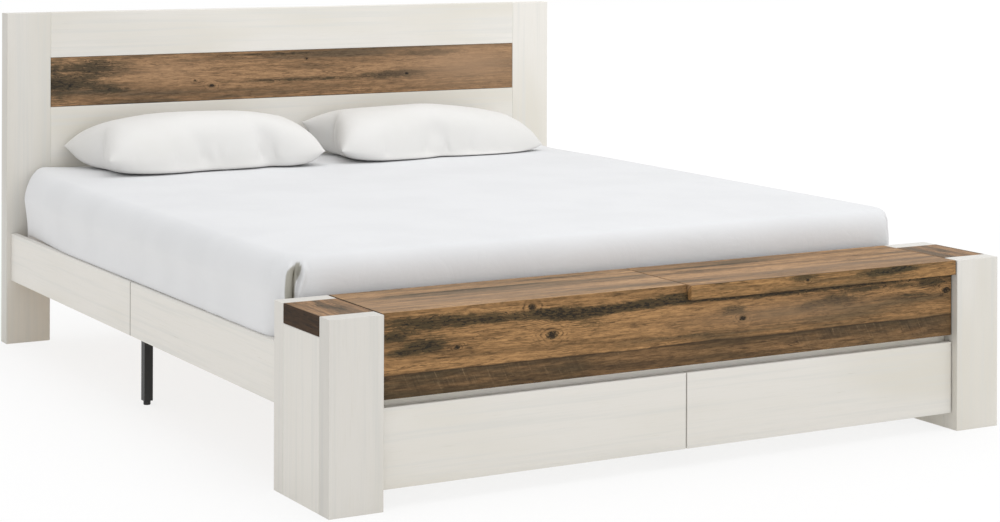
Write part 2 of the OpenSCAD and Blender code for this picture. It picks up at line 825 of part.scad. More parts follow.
// A grid cell's two triangles; "rising" cuts it from a to c, otherwise from b to d
function cell(a, b, c, d, rising) = rising ? [[a, b, c], [a, c, d]] : [[a, b, d], [b, c, d]];
module pillow(s) {
    w = pillow_n + 1;
    top = [for (j = [0 : pillow_m], i = [0 : pillow_n])
        let (u = pillow_step(i, pillow_n), v = pillow_step(j, pillow_m))
        [pillow_x(u, v), pillow_y(u, v), pillow_high(u, v)]];
    // Points of the under side that lie inside the seam
    inner = [for (j = [1 : pillow_m - 1], i = [1 : pillow_n - 1])
        let (u = pillow_step(i, pillow_n), v = pillow_step(j, pillow_m))
        [pillow_x(u, v), pillow_y(u, v), pillow_low(u, v)]];
    base = len(top);
    function low_id(i, j) =
        (i == 0 || j == 0 || i == pillow_n || j == pillow_m)
            ? j*w + i
            : base + (j - 1)*(pillow_n - 1) + i - 1;
    // Each cell is cut towards the nearest corner, so both faces never share a triangle
    function rising(i, j) = (2*i < pillow_n) == (2*j < pillow_m);
    upper = [for (j = [0 : pillow_m - 1], i = [0 : pillow_n - 1])
        let (a = j*w + i)
        each cell(a, a + w, a + w + 1, a + 1, rising(i, j))];
    lower = [for (j = [0 : pillow_m - 1], i = [0 : pillow_n - 1])
        each cell(low_id(i, j), low_id(i + 1, j), low_id(i + 1, j + 1), low_id(i, j + 1),
                  rising(i, j))];
    color("white")
    translate([s*pillow_x_mid, y_head - pillow_gap - pillow_d/2,
               pillow_rest + pillow_t*(1 - pillow_over)])
        polyhedron(points = concat(top, inner), faces = concat(upper, lower), convexity = 4);
}

// ---------------------------------------------------------------- what is drawn
stile(LEFT);  // headboard_stile_left
stile(RIGHT);  // headboard_stile_right
headboard_top_rail();
headboard_inlay_panel();
headboard_lower_panel();
headboard_back_battens();
rail_head(LEFT);  // side_rail_left_head
rail_foot(LEFT);  // side_rail_left_foot
rail_head(RIGHT);  // side_rail_right_head
rail_foot(RIGHT);  // side_rail_right_foot
rail_joiner(LEFT);  // rail_joiner_left
rail_joiner(RIGHT);  // rail_joiner_right
slat_ledges();
centre_beam();
beam_hangers();
support_legs();
leg_feet();
slats(LEFT);  // slats_left
slats(RIGHT);  // slats_right
rail_brackets();
rail_bolts();
post_front_panel(LEFT);  // post_left_front_panel
post_back_panel(LEFT);  // post_left_back_panel
post_outer_panel(LEFT);  // post_left_outer_panel
post_inner_panel(LEFT);  // post_left_inner_panel
post_cap(LEFT);  // post_left_cap
post_front_panel(RIGHT);  // post_right_front_panel
post_back_panel(RIGHT);  // post_right_back_panel
post_outer_panel(RIGHT);  // post_right_outer_panel
post_inner_panel(RIGHT);  // post_right_inner_panel
post_cap(RIGHT);  // post_right_cap
chest_front_panel();
chest_back_panel();
chest_floor();
groove_rail();
drawer_partition();
partition_foot();
chest_top_fixed();
lid_rest_rail();
lid_board();
lid_lip();
hinge_lid_leaves();
hinge_chest_leaves();
hinge_pins();
drawer_front(LEFT);  // drawer_left_front
drawer_sides(LEFT);  // drawer_left_sides
drawer_back(LEFT);  // drawer_left_back
drawer_bottom(LEFT);  // drawer_left_bottom
drawer_runners(LEFT);  // drawer_left_runners
drawer_front(RIGHT);  // drawer_right_front
drawer_sides(RIGHT);  // drawer_right_sides
drawer_back(RIGHT);  // drawer_right_back
drawer_bottom(RIGHT);  // drawer_right_bottom
drawer_runners(RIGHT);  // drawer_right_runners
cabinet_channels();
mattress();
fitted_sheet();
pillow(LEFT);  // pillow_left
pillow(RIGHT);  // pillow_right
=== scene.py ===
# %% [markdown]
# # A bed whose footboard is a blanket chest
# The boards, hinges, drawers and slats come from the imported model, at their real size and place.
# This lesson dresses them: whitewashed laminate, a reclaimed-oak print, steel, cotton and a stuffed
# mattress and pillows. Nothing here moves a board. Lengths are in metres, +Z is up, the bed's head
# points to +Y, and the origin is on the floor under the middle of the bed.

import json
import math

import bpy
import numpy as np
from mathutils import Euler, Matrix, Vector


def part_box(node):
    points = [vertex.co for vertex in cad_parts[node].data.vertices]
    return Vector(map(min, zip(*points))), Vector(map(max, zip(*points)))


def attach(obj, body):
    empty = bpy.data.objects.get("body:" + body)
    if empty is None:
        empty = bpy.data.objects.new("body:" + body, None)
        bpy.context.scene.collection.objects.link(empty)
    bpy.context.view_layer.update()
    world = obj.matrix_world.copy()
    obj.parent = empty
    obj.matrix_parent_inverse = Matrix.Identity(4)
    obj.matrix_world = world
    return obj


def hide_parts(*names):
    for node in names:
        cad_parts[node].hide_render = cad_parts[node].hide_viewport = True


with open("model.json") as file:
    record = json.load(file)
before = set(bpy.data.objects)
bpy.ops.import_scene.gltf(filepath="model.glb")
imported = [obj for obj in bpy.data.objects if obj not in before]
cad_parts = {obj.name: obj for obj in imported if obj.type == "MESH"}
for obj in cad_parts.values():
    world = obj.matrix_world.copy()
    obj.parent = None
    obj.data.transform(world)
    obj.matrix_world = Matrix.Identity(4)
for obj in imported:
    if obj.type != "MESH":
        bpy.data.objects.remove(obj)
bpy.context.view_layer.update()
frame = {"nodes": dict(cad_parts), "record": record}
nodes = frame["nodes"]
slot_of = {row["node"]: row["material_slot"] for row in frame["record"]["subparts"]}
scene = bpy.context.scene

# %% [markdown]
# ## Camera
# The view of the photograph was found by fitting a camera to the corners of the posts, the chest
# and the headboard. All upright edges are parallel in it: the camera's back is upright and its
# line of sight slants down, as with the shifted lens of a catalogue picture. Blender's lens has a
# shift for this, but it would go along to every other view. So the slant belongs to the camera's
# stand, and a camera that is taken off the stand looks straight ahead. The lens is long, so the
# bed looks almost parallel.

# %% The camera on its slanting stand
CAMERA_AT = (-3.2619, -5.9293, 1.4072)
CAMERA_YAW = 29.118
CAMERA_ROLL = 0.181
LENS_MM = 83.225
LENS_SHIFT = (0.0289, -0.3618)
SENSOR_MM = 36.0

# The sight line leans by the shift over the focal length, and that makes it a little longer
lean = np.array(LENS_SHIFT) * SENSOR_MM / LENS_MM
longer = math.sqrt(1 + lean @ lean)
upright = Euler((math.radians(90), math.radians(-CAMERA_ROLL), math.radians(-CAMERA_YAW)))
slant = Matrix(((1, 0, -lean[0] / longer), (0, 1, -lean[1] / longer), (0, 0, 1 / longer)))
turned = upright.to_matrix() @ slant

lens = bpy.data.cameras.new("camera")
lens.lens = LENS_MM * longer
lens.sensor_width = SENSOR_MM
camera = bpy.data.objects.new("camera", lens)
camera.location = CAMERA_AT
camera.rotation_euler = (-turned.col[2]).to_track_quat("-Z", "Y").to_euler()
stand = bpy.data.objects.new("camera_stand", None)
camera.parent = stand
camera.matrix_parent_inverse = (Matrix.Translation(CAMERA_AT) @ turned.to_4x4()
                                @ camera.matrix_basis.inverted())
scene.collection.objects.link(stand)
scene.collection.objects.link(camera)
scene.camera = camera
print("camera at", CAMERA_AT, "with a lens of", round(lens.lens, 2), "mm")

# %% [markdown]
# ## Materials as node trees
# A Blender material is a tree of nodes. Placed by hand in the editor, they are hard to read later,
# so a few short functions stand for the nodes that are needed again and again. Arithmetic and a
# soft step come first. Noise, colours and bumps follow before the first finish. A finish is then
# written as a recipe, one layer a line.


# %% Helpers for numbers and places in a node tree
def add(tree, kind, inputs=None, output=0, **settings):
    """Adds a node, sets its properties, feeds its inputs and returns one of its outputs."""
    node = tree.nodes.new(kind)
    for name, value in settings.items():
        setattr(node, name, value)
    for key, value in (inputs or {}).items():
        if isinstance(value, bpy.types.NodeSocket):
            tree.links.new(value, node.inputs[key])
        else:
            node.inputs[key].default_value = value
    return node.outputs[output]


def maths(tree, operation, a, b=0.0, c=0.0):
    """One step of arithmetic on numbers."""
    return add(tree, "ShaderNodeMath", {0: a, 1: b, 2: c}, operation=operation)


def vectors(tree, operation, a, b=(0, 0, 0), output=0):
    """One step of arithmetic on vectors."""
    return add(tree, "ShaderNodeVectorMath", {0: a, 1: b}, output, operation=operation)


def object_place(tree):
    """The Object coordinates: a place on the piece itself, in metres."""
    return add(tree, "ShaderNodeTexCoord", output="Object")


def fade(tree, value, start, end):
    """0 up to start, 1 from end on, and a smooth step between; start may be above end."""
    return add(tree, "ShaderNodeMapRange", {0: value, 1: start, 2: end, 3: 0.0, 4: 1.0},
               interpolation_type="SMOOTHSTEP")


print("node helpers: add, maths, vectors, object_place, fade")

# %% [markdown]
# ## Light and floor
# The bed stands in a white studio. A large lamp overhead makes the tops lighter than the fronts,
# a second one far in front lights the fronts, and the sky fills the shadows. Large lamps are used
# because small ones throw hard shadows that a studio picture doesn't have. The floor mixes two
# things: paper that takes a shadow, and a plain glow that turns white far from the bed.

# %% The sky: white to the eye, softer as a lamp
SKY_LIGHT = 0.78
PURE_WHITE = (1, 1, 1, 1)


def seen_directly(tree):
    """1 for rays that come from the eye, straight, mirrored or through glass, and 0 for light."""
    rays = tree.nodes.new("ShaderNodeLightPath")
    seen = maths(tree, "MAXIMUM", rays.outputs["Is Camera Ray"], rays.outputs["Is Glossy Ray"])
    return maths(tree, "MAXIMUM", seen, rays.outputs["Is Transmission Ray"])


scene.view_settings.view_transform = "Standard"
world = bpy.data.worlds.new("studio")
scene.world = world
world.use_nodes = True
sky = world.node_tree
sky.nodes.clear()
glow = add(sky, "ShaderNodeBackground", {"Color": PURE_WHITE, "Strength": SKY_LIGHT})
white = add(sky, "ShaderNodeBackground", {"Color": PURE_WHITE, "Strength": 1.0})
both = add(sky, "ShaderNodeMixShader", {0: seen_directly(sky), 1: glow, 2: white})
world_out = sky.nodes.new("ShaderNodeOutputWorld")
sky.links.new(both, world_out.inputs["Surface"])
print("sky of strength", SKY_LIGHT)


# %% Two soft lamps
def soft_lamp(name, place, aim, size, watts):
    """A square lamp at a place, turned to aim."""
    data = bpy.data.lights.new(name, "AREA")
    data.size = size
    data.energy = watts
    lamp = bpy.data.objects.new(name, data)
    lamp.location = place
    back = np.array(place) - np.array(aim)
    flat = math.hypot(back[0], back[1])
    lamp.rotation_euler = (math.atan2(flat, back[2]), 0, math.atan2(back[0], -back[1]))
    scene.collection.objects.link(lamp)
    return lamp


lamps = [soft_lamp("overhead_lamp", place=(0.8, -0.6, 5.0), aim=(0, 0, 0.3), size=5.0, watts=104),
         soft_lamp("front_lamp", place=(3.0, -12.0, 2.6), aim=(0, -0.6, 0.35), size=5.5, watts=138)]
print("lamps:", [lamp.name for lamp in lamps])

# %% The floor keeps a light shadow and is otherwise white
FLOOR_SIDE = 40.0
FLOOR_WHITE_NEAR = 0.78
FLOOR_WHITE_FROM, FLOOR_WHITE_AT = 1.6, 4.5
FLOOR_GLOW = 1.03
FLOOR_BOUNCE = 0.27
FLOOR_PAPER = (0.86, 0.86, 0.86, 1)
BOUNCE_COLOUR = (1.0, 0.96, 0.88, 1)

side = FLOOR_SIDE / 2
floor_mesh = bpy.data.meshes.new("floor")
floor_mesh.from_pydata([(-side, -side, 0), (side, -side, 0), (side, side, 0), (-side, side, 0)],
                       [], [(0, 1, 2, 3)])
floor = bpy.data.objects.new("floor", floor_mesh)
scene.collection.objects.link(floor)
floor_material = bpy.data.materials.new("pale_floor")
floor_material.use_nodes = True
ground = floor_material.node_tree
ground.nodes.clear()
seen = seen_directly(ground)
away = vectors(ground, "LENGTH", object_place(ground), output="Value")
far = fade(ground, away, FLOOR_WHITE_FROM, FLOOR_WHITE_AT)
share = maths(ground, "MULTIPLY_ADD", far, 1 - FLOOR_WHITE_NEAR, FLOOR_WHITE_NEAR)
share = maths(ground, "MULTIPLY", seen, share)
matt = add(ground, "ShaderNodeBsdfDiffuse", {"Color": FLOOR_PAPER})
# Seen only by light, the floor also glows warm: painted bounce light, which lights the bed from
# below though the floor is no lamp
hidden = maths(ground, "MULTIPLY", maths(ground, "SUBTRACT", 1.0, seen), FLOOR_BOUNCE)
bounce = add(ground, "ShaderNodeEmission", {"Color": BOUNCE_COLOUR, "Strength": hidden})
matt = add(ground, "ShaderNodeAddShader", {0: matt, 1: bounce})
bright = add(ground, "ShaderNodeEmission", {"Color": PURE_WHITE, "Strength": FLOOR_GLOW})
mixed = add(ground, "ShaderNodeMixShader", {0: share, 1: matt, 2: bright})
floor_out = ground.nodes.new("ShaderNodeOutputMaterial")
ground.links.new(mixed, floor_out.inputs["Surface"])
floor_mesh.materials.append(floor_material)
print("floor of", FLOOR_SIDE, "m")

# %% [markdown]
# ## Whitewashed laminate
# The white boards carry a printed grain under a matt paper: faint streaks along the board, a few
# fine pores and slow warm and cool clouds. A wood texture node would be far too bold. Noise that
# is stretched along the board gives each layer, and every layer changes the colour by only a few
# percent, as on the real paper. Each group of boards gets a tone of its own, which is painted
# light and shade: lighter or darker as the lamps light that group, and brightest in the shaded
# groove behind the drawers. Where a board's end was sawn after it was wrapped, a thin dark rim
# shows. A stile's outer side and the left ends of the two white headboard boards get painted shade.


# %% Helpers for colours, noise and bumps
def linear(red, green, blue):
    """A colour as a screen shows it, 0 to 255, in the linear light that shaders use."""
    c = np.array([red, green, blue]) / 255
    light = np.where(c <= 0.04045, c / 12.92, ((c + 0.055) / 1.055) ** 2.4)
    return (*light.tolist(), 1.0)


def blend(tree, factor, a, b, kind="MIX"):
    """Colour a where the factor is 0, and b where it is 1.

    The node has sockets for each type of data. Those of colours are inputs 6 and 7, output 2."""
    return add(tree, "ShaderNodeMix", {0: factor, 6: a, 7: b}, 2, data_type="RGBA", blend_type=kind)


def noise(tree, place, scale, detail=2.0, rough=0.5, twist=0.0):
    """Noise round 0.5 on place times scale, where scale gives the cycles per metre on each axis."""
    stretched = vectors(tree, "MULTIPLY", place, scale)
    return add(tree, "ShaderNodeTexNoise",
               {"Vector": stretched, "Scale": 1.0, "Detail": detail, "Roughness": rough,
                "Distortion": twist})


def new_surface(name, **plain):
    """A material with its node tree and its shader; plain values go on the shader's sockets."""
    material = bpy.data.materials.new(name)
    material.use_nodes = True
    tree = material.node_tree
    shader = tree.nodes["Principled BSDF"]
    for socket, value in plain.items():
        shader.inputs[socket.replace("_", " ")].default_value = value
    return material, tree, shader


def raise_bumps(tree, shader, height, depth):
    """Feeds a height from 0 to 1 to the shader as bumps of that depth in metres."""
    bump = add(tree, "ShaderNodeBump", {"Height": height, "Distance": depth, "Strength": 1.0})
    tree.links.new(bump, shader.inputs["Normal"])


def colour_it(tree, shader, colour):
    """Feeds a colour to the shader."""
    tree.links.new(colour, shader.inputs["Base Color"])


print("mid grey on a screen is", round(linear(128, 128, 128)[0], 3), "in linear light")

# %% White laminate for each direction of the grain
AXES = "XYZ"
WHITE = linear(230, 227, 221)
WHITE_WARM = linear(222, 218, 208)
WHITE_COOL = linear(220, 219, 214)
WHITE_PORE = linear(190, 184, 171)
WHITE_RIM_AND_SHADE = (0.10, 0.09, 0.07, 1)


def along_grain(grain, along, across):
    """Cycles per metre on X, Y and Z: few along the grain and many across it."""
    return tuple(along if axis == grain else across for axis in AXES)


def white_laminate(grain, tone, rim):
    """Laminate with its grain along one axis; the tone, 1 for the bare paper, paints light or shade.

    A rim (a sawn end, or painted shade) is an axis, where it starts and is full along that axis,
    and how dark it is."""
    material, tree, shader = new_surface(f"white_laminate_{grain}_{tone}", Roughness=0.5)
    place = object_place(tree)
    cloud = noise(tree, place, along_grain(grain, 1.1, 4.5), 2.0)
    streak = noise(tree, place, along_grain(grain, 1.6, 70), 3.0, 0.6)
    fibre = noise(tree, place, along_grain(grain, 14, 520), 2.0)
    pores = noise(tree, place, along_grain(grain, 7, 260), 3.0, 0.7)
    patch = noise(tree, place, along_grain(grain, 3.0, 12), 1.0)
    colour = blend(tree, fade(tree, cloud, 0.42, 0.66), WHITE, WHITE_WARM)
    colour = blend(tree, maths(tree, "MULTIPLY", fade(tree, streak, 0.45, 0.7), 0.7),
                   colour, WHITE_COOL)
    colour = blend(tree, maths(tree, "MULTIPLY", fade(tree, fibre, 0.5, 0.75), 0.35),
                   colour, WHITE_WARM)
    dots = maths(tree, "MULTIPLY", fade(tree, pores, 0.66, 0.74), fade(tree, patch, 0.5, 0.7))
    colour = blend(tree, maths(tree, "MULTIPLY", dots, 0.5), colour, WHITE_PORE)
    # Painted light or shade: the whole colour is scaled by the board's tone
    colour = blend(tree, 1.0, colour, (tone, tone, tone, 1), "MULTIPLY")
    # A dark rim: a rail's sawn end, or painted shade on a stile's outer side or a headboard board
    if rim:
        axis, start, full, strength = rim
        along = add(tree, "ShaderNodeSeparateXYZ", {0: place}, output=AXES.index(axis))
        dark = maths(tree, "MULTIPLY", fade(tree, along, start, full), strength)
        colour = blend(tree, dark, colour, WHITE_RIM_AND_SHADE, "MULTIPLY")
    colour_it(tree, shader, colour)
    raise_bumps(tree, shader, maths(tree, "ADD", fibre, streak), 0.00012)
    return material


# %% Which white paper and painted tone a board gets
# Painted light and shade: each group's tone makes its boards lighter or darker as the lamps light
# them, and lifts the shaded groove behind the drawers above the paper's own white
PAINTED_LIGHT_TONES = {"headboard_stile_left": 0.87, "post_left_front": 0.80, "post_left_outer": 0.92,
         "post": 0.865, "drawer": 0.87, "side_rail": 0.95, "groove": 1.2}
SAWN_END = (0.0018, 0.0008, 0.75)
# Painted shade on a stile's outer side, darker than its front
OUTER_SIDE_SHADE = (0.0016, 0.0006, 0.10)
white_papers = {}


def rim_and_shade_of(node):
    """A board's darker rim: a rail's sawn end at its seam, or painted shade on a stile's outer side.

    On the two white headboard boards it is wide, faint painted shade, greyer to the left."""
    low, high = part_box(node)
    if node.startswith("side_rail"):
        start, full, strength = SAWN_END
        end, inward = (high[1], -1) if node.endswith("foot") else (low[1], 1)
        return "Y", end + start * inward, end + full * inward, strength
    if node.startswith("headboard_stile"):
        start, full, strength = OUTER_SIDE_SHADE
        side, inward = (low[0], 1) if node.endswith("left") else (high[0], -1)
        return "X", side + start * inward, side + full * inward, strength
    # Painted shade: the two white headboard boards grow darker towards their left ends
    if node == "headboard_top_rail":
        return "X", -0.10, -0.85, 0.11
    if node == "headboard_lower_panel":
        return "X", -0.55, -0.85, 0.08
    return None


def white_for(node, grain):
    """The laminate of a board, at the tone of painted light or shade that its group gets."""
    tone = next((t for start, t in PAINTED_LIGHT_TONES.items() if node.startswith(start)), 1.0)
    paper = (grain, tone, rim_and_shade_of(node))
    if paper not in white_papers:
        white_papers[paper] = white_laminate(*paper)
    return white_papers[paper]


print("white papers of tone", sorted(set(PAINTED_LIGHT_TONES.values()) | {1.0}))

# %% [markdown]
# ## Reclaimed-oak print
# The brown boards show old oak: bands of orange and grey brown, dark weathered patches, fine
# cracks, and knots with rings round them. On the real bed it is a printed paper, wrapped round
# each board. A picture as a texture would repeat and would fit one size of board only, so the
# print is built up from noise, layer by layer. Where the knots and patches lie was measured on
# the boards in the photograph, and the rest is noise.

# %% Colours of the print
OAK = {
    "light": linear(171, 131, 87),
    "mid": linear(142, 108, 71),
    "grey": linear(103, 84, 59),
    "line": linear(62, 47, 32),
    "weathered": linear(60, 54, 37),
    "speck": linear(32, 30, 26),
    "core": linear(34, 28, 23),
}
OAK_PALE = linear(172, 141, 112)
OAK_EDGE = (0.10, 0.08, 0.05, 1)


def tinted(colours, factor, shift=(1.0, 1.0, 1.0)):
    """The same set of colours, lighter or darker and warmer or cooler."""
    return {name: (*(c * factor * s for c, s in zip(colour[:3], shift)), 1.0)
            for name, colour in colours.items()}


print("oak tones:", ", ".join(OAK))


# %% Features at a written place on a board
def distance(tree, flat_place, centre, radii):
    """The length of ((x - cx) / rx, (t - ct) / rt): 0 at an ellipse's centre, 1 on its outline."""
    away = vectors(tree, "SUBTRACT", flat_place, (centre[0], centre[1], 0))
    in_radii = vectors(tree, "MULTIPLY", away, (1 / radii[0], 1 / radii[1], 0))
    return vectors(tree, "LENGTH", in_radii, output="Value")


def blob(tree, flat_place, centre, radii):
    """A soft hill exp(-d^2), where d is the distance from the centre in its own radii."""
    d = distance(tree, flat_place, centre, radii)
    return maths(tree, "EXPONENT", maths(tree, "MULTIPLY", maths(tree, "MULTIPLY", d, d), -1.0))


def share_of(tree, factor, value):
    """A value times a factor."""
    return maths(tree, "MULTIPLY", value, factor)


def sum_of(tree, values):
    """All the values added up, at most 1."""
    total = values[0]
    for value in values[1:]:
        total = maths(tree, "ADD", total, value)
    return maths(tree, "MINIMUM", total, 1.0)


def blobs(tree, flat_place, patches):
    """A hill for each patch (along, across, half length, half width, strength)."""
    return [share_of(tree, strength, blob(tree, flat_place, (x, t), (rx, rt)))
            for x, t, rx, rt, strength in patches]


def oak_place(tree, along, across, seed):
    """Places on a board: for noise, the same leaned over, and flat (along, across) for features.

    Noise is read at across + depth, so the print runs on round an edge as a wrapped paper does."""
    split = tree.nodes.new("ShaderNodeSeparateXYZ")
    tree.links.new(object_place(tree), split.inputs[0])
    depth = next(axis for axis in AXES if axis not in (along, across))
    x, t = split.outputs[along], split.outputs[across]
    round_edge = maths(tree, "ADD", t, split.outputs[depth])
    solid = add(tree, "ShaderNodeCombineXYZ", {0: x, 1: round_edge, 2: seed})
    leaned = maths(tree, "MULTIPLY_ADD", t, 0.5, x)
    slanted = add(tree, "ShaderNodeCombineXYZ", {0: leaned, 1: round_edge, 2: seed})
    flat = add(tree, "ShaderNodeCombineXYZ", {0: x, 1: t})
    return solid, slanted, flat, split.outputs


print("a hill is down to", round(math.exp(-1), 2), "of its height at its own radius")

# %% [markdown]
# ### Grain lines and knots
# In sawn wood the grain lines are the year rings, cut open. Here they are the contour lines of a
# sloping field, which is simply the place across the board with a little noise. Near a knot the
# slope flattens, so the lines part and flow round it as water does round a post. In the gap the
# knot has its own rings, and its core is a brown eye with dark cracked patches. Rings alone would
# look like a target, so noise bends them and breaks them up.

# %% Grain lines that part round the knots
LINE_STEP = 0.0062
KNOT_FLATTENS = 0.85
RING_TURNS = 1.1


def grain_wave(tree, solid, flat, across_place, knots):
    """The sine of the field whose contour lines are the grain.

    Each knot is (along, across, size, rings). The field is the place across the board plus noise,
    and near a knot k (t - place) exp(-d^2) flattens it, where t is the knot's own place. Within
    1.7 d of the knot, sines of the distance take over as its rings."""
    drift = noise(tree, solid, (0.8, 5, 1), 3.0)
    wobble = noise(tree, solid, (9, 45, 1), 3.0, 0.6)
    field = maths(tree, "MULTIPLY_ADD", drift, 0.05, across_place)
    field = maths(tree, "MULTIPLY_ADD", wobble, 0.006, field)
    for x, t, size, _ in knots:
        hill = blob(tree, flat, (x, t), (2.6 * size, 1.5 * size))
        pull = maths(tree, "MULTIPLY", hill, maths(tree, "SUBTRACT", t, across_place))
        field = maths(tree, "MULTIPLY_ADD", pull, KNOT_FLATTENS, field)
    wave = maths(tree, "SINE", share_of(tree, 2 * math.pi / LINE_STEP, field))
    for x, t, size, rings in knots:
        d = distance(tree, flat, (x, t), (1.9 * size, 1.15 * size))
        uneven = maths(tree, "MULTIPLY_ADD", maths(tree, "SUBTRACT", wobble, 0.5), 1.3, d)
        ring = maths(tree, "SINE", share_of(tree, RING_TURNS * math.pi * rings, uneven))
        inside = share_of(tree, 0.8, fade(tree, d, 1.7, 0.9))
        wave = maths(tree, "ADD", maths(tree, "MULTIPLY", ring, inside),
                     maths(tree, "MULTIPLY", wave, maths(tree, "SUBTRACT", 1.0, inside)))
    return wave


def knot_cores(tree, slanted, flat, colour, tones, knots):
    """Paints each knot's core: a brown eye, and dark cracked patches in it."""
    grit = noise(tree, slanted, (150, 260, 1), 3.0, 0.7, 0.4)
    for x, t, size, _ in knots:
        core = blob(tree, flat, (x, t), (0.80 * size, 0.52 * size))
        rim = maths(tree, "MULTIPLY_ADD", maths(tree, "SUBTRACT", grit, 0.5), 2.2, core)
        colour = blend(tree, share_of(tree, 0.60, fade(tree, core, 0.20, 0.65)), colour,
                       tones["weathered"])
        colour = blend(tree, share_of(tree, 0.9, fade(tree, rim, 0.50, 0.75)), colour,
                       tones["core"])
    return colour


print("grain lines", LINE_STEP, "m apart")

# %% Bands, dashes, weathered clouds and cracks
def ramp(tree, factor, stops):
    """A colour ramp from a list of (place, colour)."""
    output = add(tree, "ShaderNodeValToRGB", {0: factor})
    elements = output.node.color_ramp.elements
    while len(elements) < len(stops):
        elements.new(0.5)
    for element, (place, colour) in zip(elements, stops):
        element.position = place
        element.color = colour
    return output


def banded_wood(tree, solid, tones):
    """Bands and streaks from grey over mid to light brown, dulled by fine fibres.

    Returns the colour, and the fibres' noise for the bumps."""
    band = noise(tree, solid, (1.1, 17, 1), 2.5, 0.55)
    streak = noise(tree, solid, (4.5, 95, 1), 5.0, 0.7, 0.2)
    fibre = noise(tree, solid, (22, 700, 1), 2.0)
    tone = maths(tree, "ADD", share_of(tree, 0.6, band), share_of(tree, 0.4, streak))
    colour = ramp(tree, tone, [(0.40, tones["grey"]), (0.49, tones["mid"]), (0.57, tones["light"])])
    dull = share_of(tree, 0.34, fade(tree, fibre, 0.42, 0.72))
    return blend(tree, dull, colour, tones["grey"]), fibre


def dashed(tree, solid, colour, tones, calm):
    """Darker and lighter grain, short dashes thinned out by slow clouds, then long dashes."""
    grain = noise(tree, solid, (26, 150, 3), 5.0, 0.75, 0.2)
    depth = 0.42 * (1 - 0.4 * calm)
    grain = maths(tree, "MULTIPLY_ADD", fade(tree, grain, 0.38, 0.62), depth, 1.12 - depth)
    colour = blend(tree, 1.0, colour, grain, "MULTIPLY")
    dash = noise(tree, solid, (48, 420, 2), 3.0, 0.7)
    busy = fade(tree, noise(tree, solid, (5, 30, 4), 2.0), 0.35, 0.65)
    dashes = maths(tree, "MULTIPLY", fade(tree, dash, 0.54, 0.66), busy)
    colour = blend(tree, share_of(tree, 0.55 * (1 - 0.4 * calm), dashes), colour, tones["line"])
    long_dashes = fade(tree, noise(tree, solid, (17, 150, 6), 4.0, 0.75, 0.1), 0.52, 0.64)
    return blend(tree, share_of(tree, 0.62 * (1 - 0.5 * calm), long_dashes), colour,
                 tones["line"])


def weathered(tree, slanted, colour, tones, cover, calm):
    """Dark clouds with torn edges where the cover is high, and short slanted specks in them."""
    torn = noise(tree, slanted, (22, 90, 1), 7.0, 0.78, 0.4)
    veil = fade(tree, maths(tree, "MULTIPLY_ADD", torn, 2.4, cover), 1.35, 1.95)
    veil = maths(tree, "MULTIPLY", share_of(tree, 0.85, veil), fade(tree, cover, 0.05, 0.45))
    colour = blend(tree, veil, colour, tones["weathered"])
    speck = noise(tree, slanted, (60, 210, 1), 4.0, 0.7, 0.3)
    needed = maths(tree, "SUBTRACT", 0.72, share_of(tree, 0.24, cover))
    specks = fade(tree, maths(tree, "SUBTRACT", speck, needed), -0.03, 0.05)
    return blend(tree, share_of(tree, 0.9 * (1 - 0.5 * calm), specks), colour, tones["speck"])


def cracks_in(tree, solid):
    """Thin cracks where |noise - 0.5| is under 0.012, and only where a second noise is high."""
    ridge = maths(tree, "SUBTRACT", noise(tree, solid, (3.2, 46, 1), 4.0, 0.6, 0.4), 0.5)
    thin = fade(tree, maths(tree, "ABSOLUTE", ridge), 0.012, 0.002)
    here = fade(tree, noise(tree, solid, (4, 18, 7), 1.0), 0.52, 0.64)
    return maths(tree, "MULTIPLY", thin, here)


# %% [markdown]
# ### The lower plank of the chest's front
# The print on the chest's front shows two planks. The lower one is greyer, and in places it still
# has the marks of the saw: short upright teeth just below the seam. They are noise too, stretched
# upright instead of along the board, and let through only where marks were seen.

# %% A second plank with saw marks
PLANK = {
    "dark": linear(74, 58, 40),
    "mid": linear(112, 86, 58),
    "light": linear(146, 112, 76),
    "fibre": linear(86, 68, 52),
    "dull": linear(68, 60, 43),
    "worn": linear(70, 61, 48),
    "pale_tooth": linear(150, 124, 92),
    "dark_tooth": linear(44, 38, 30),
    "seam": linear(44, 36, 28),
}


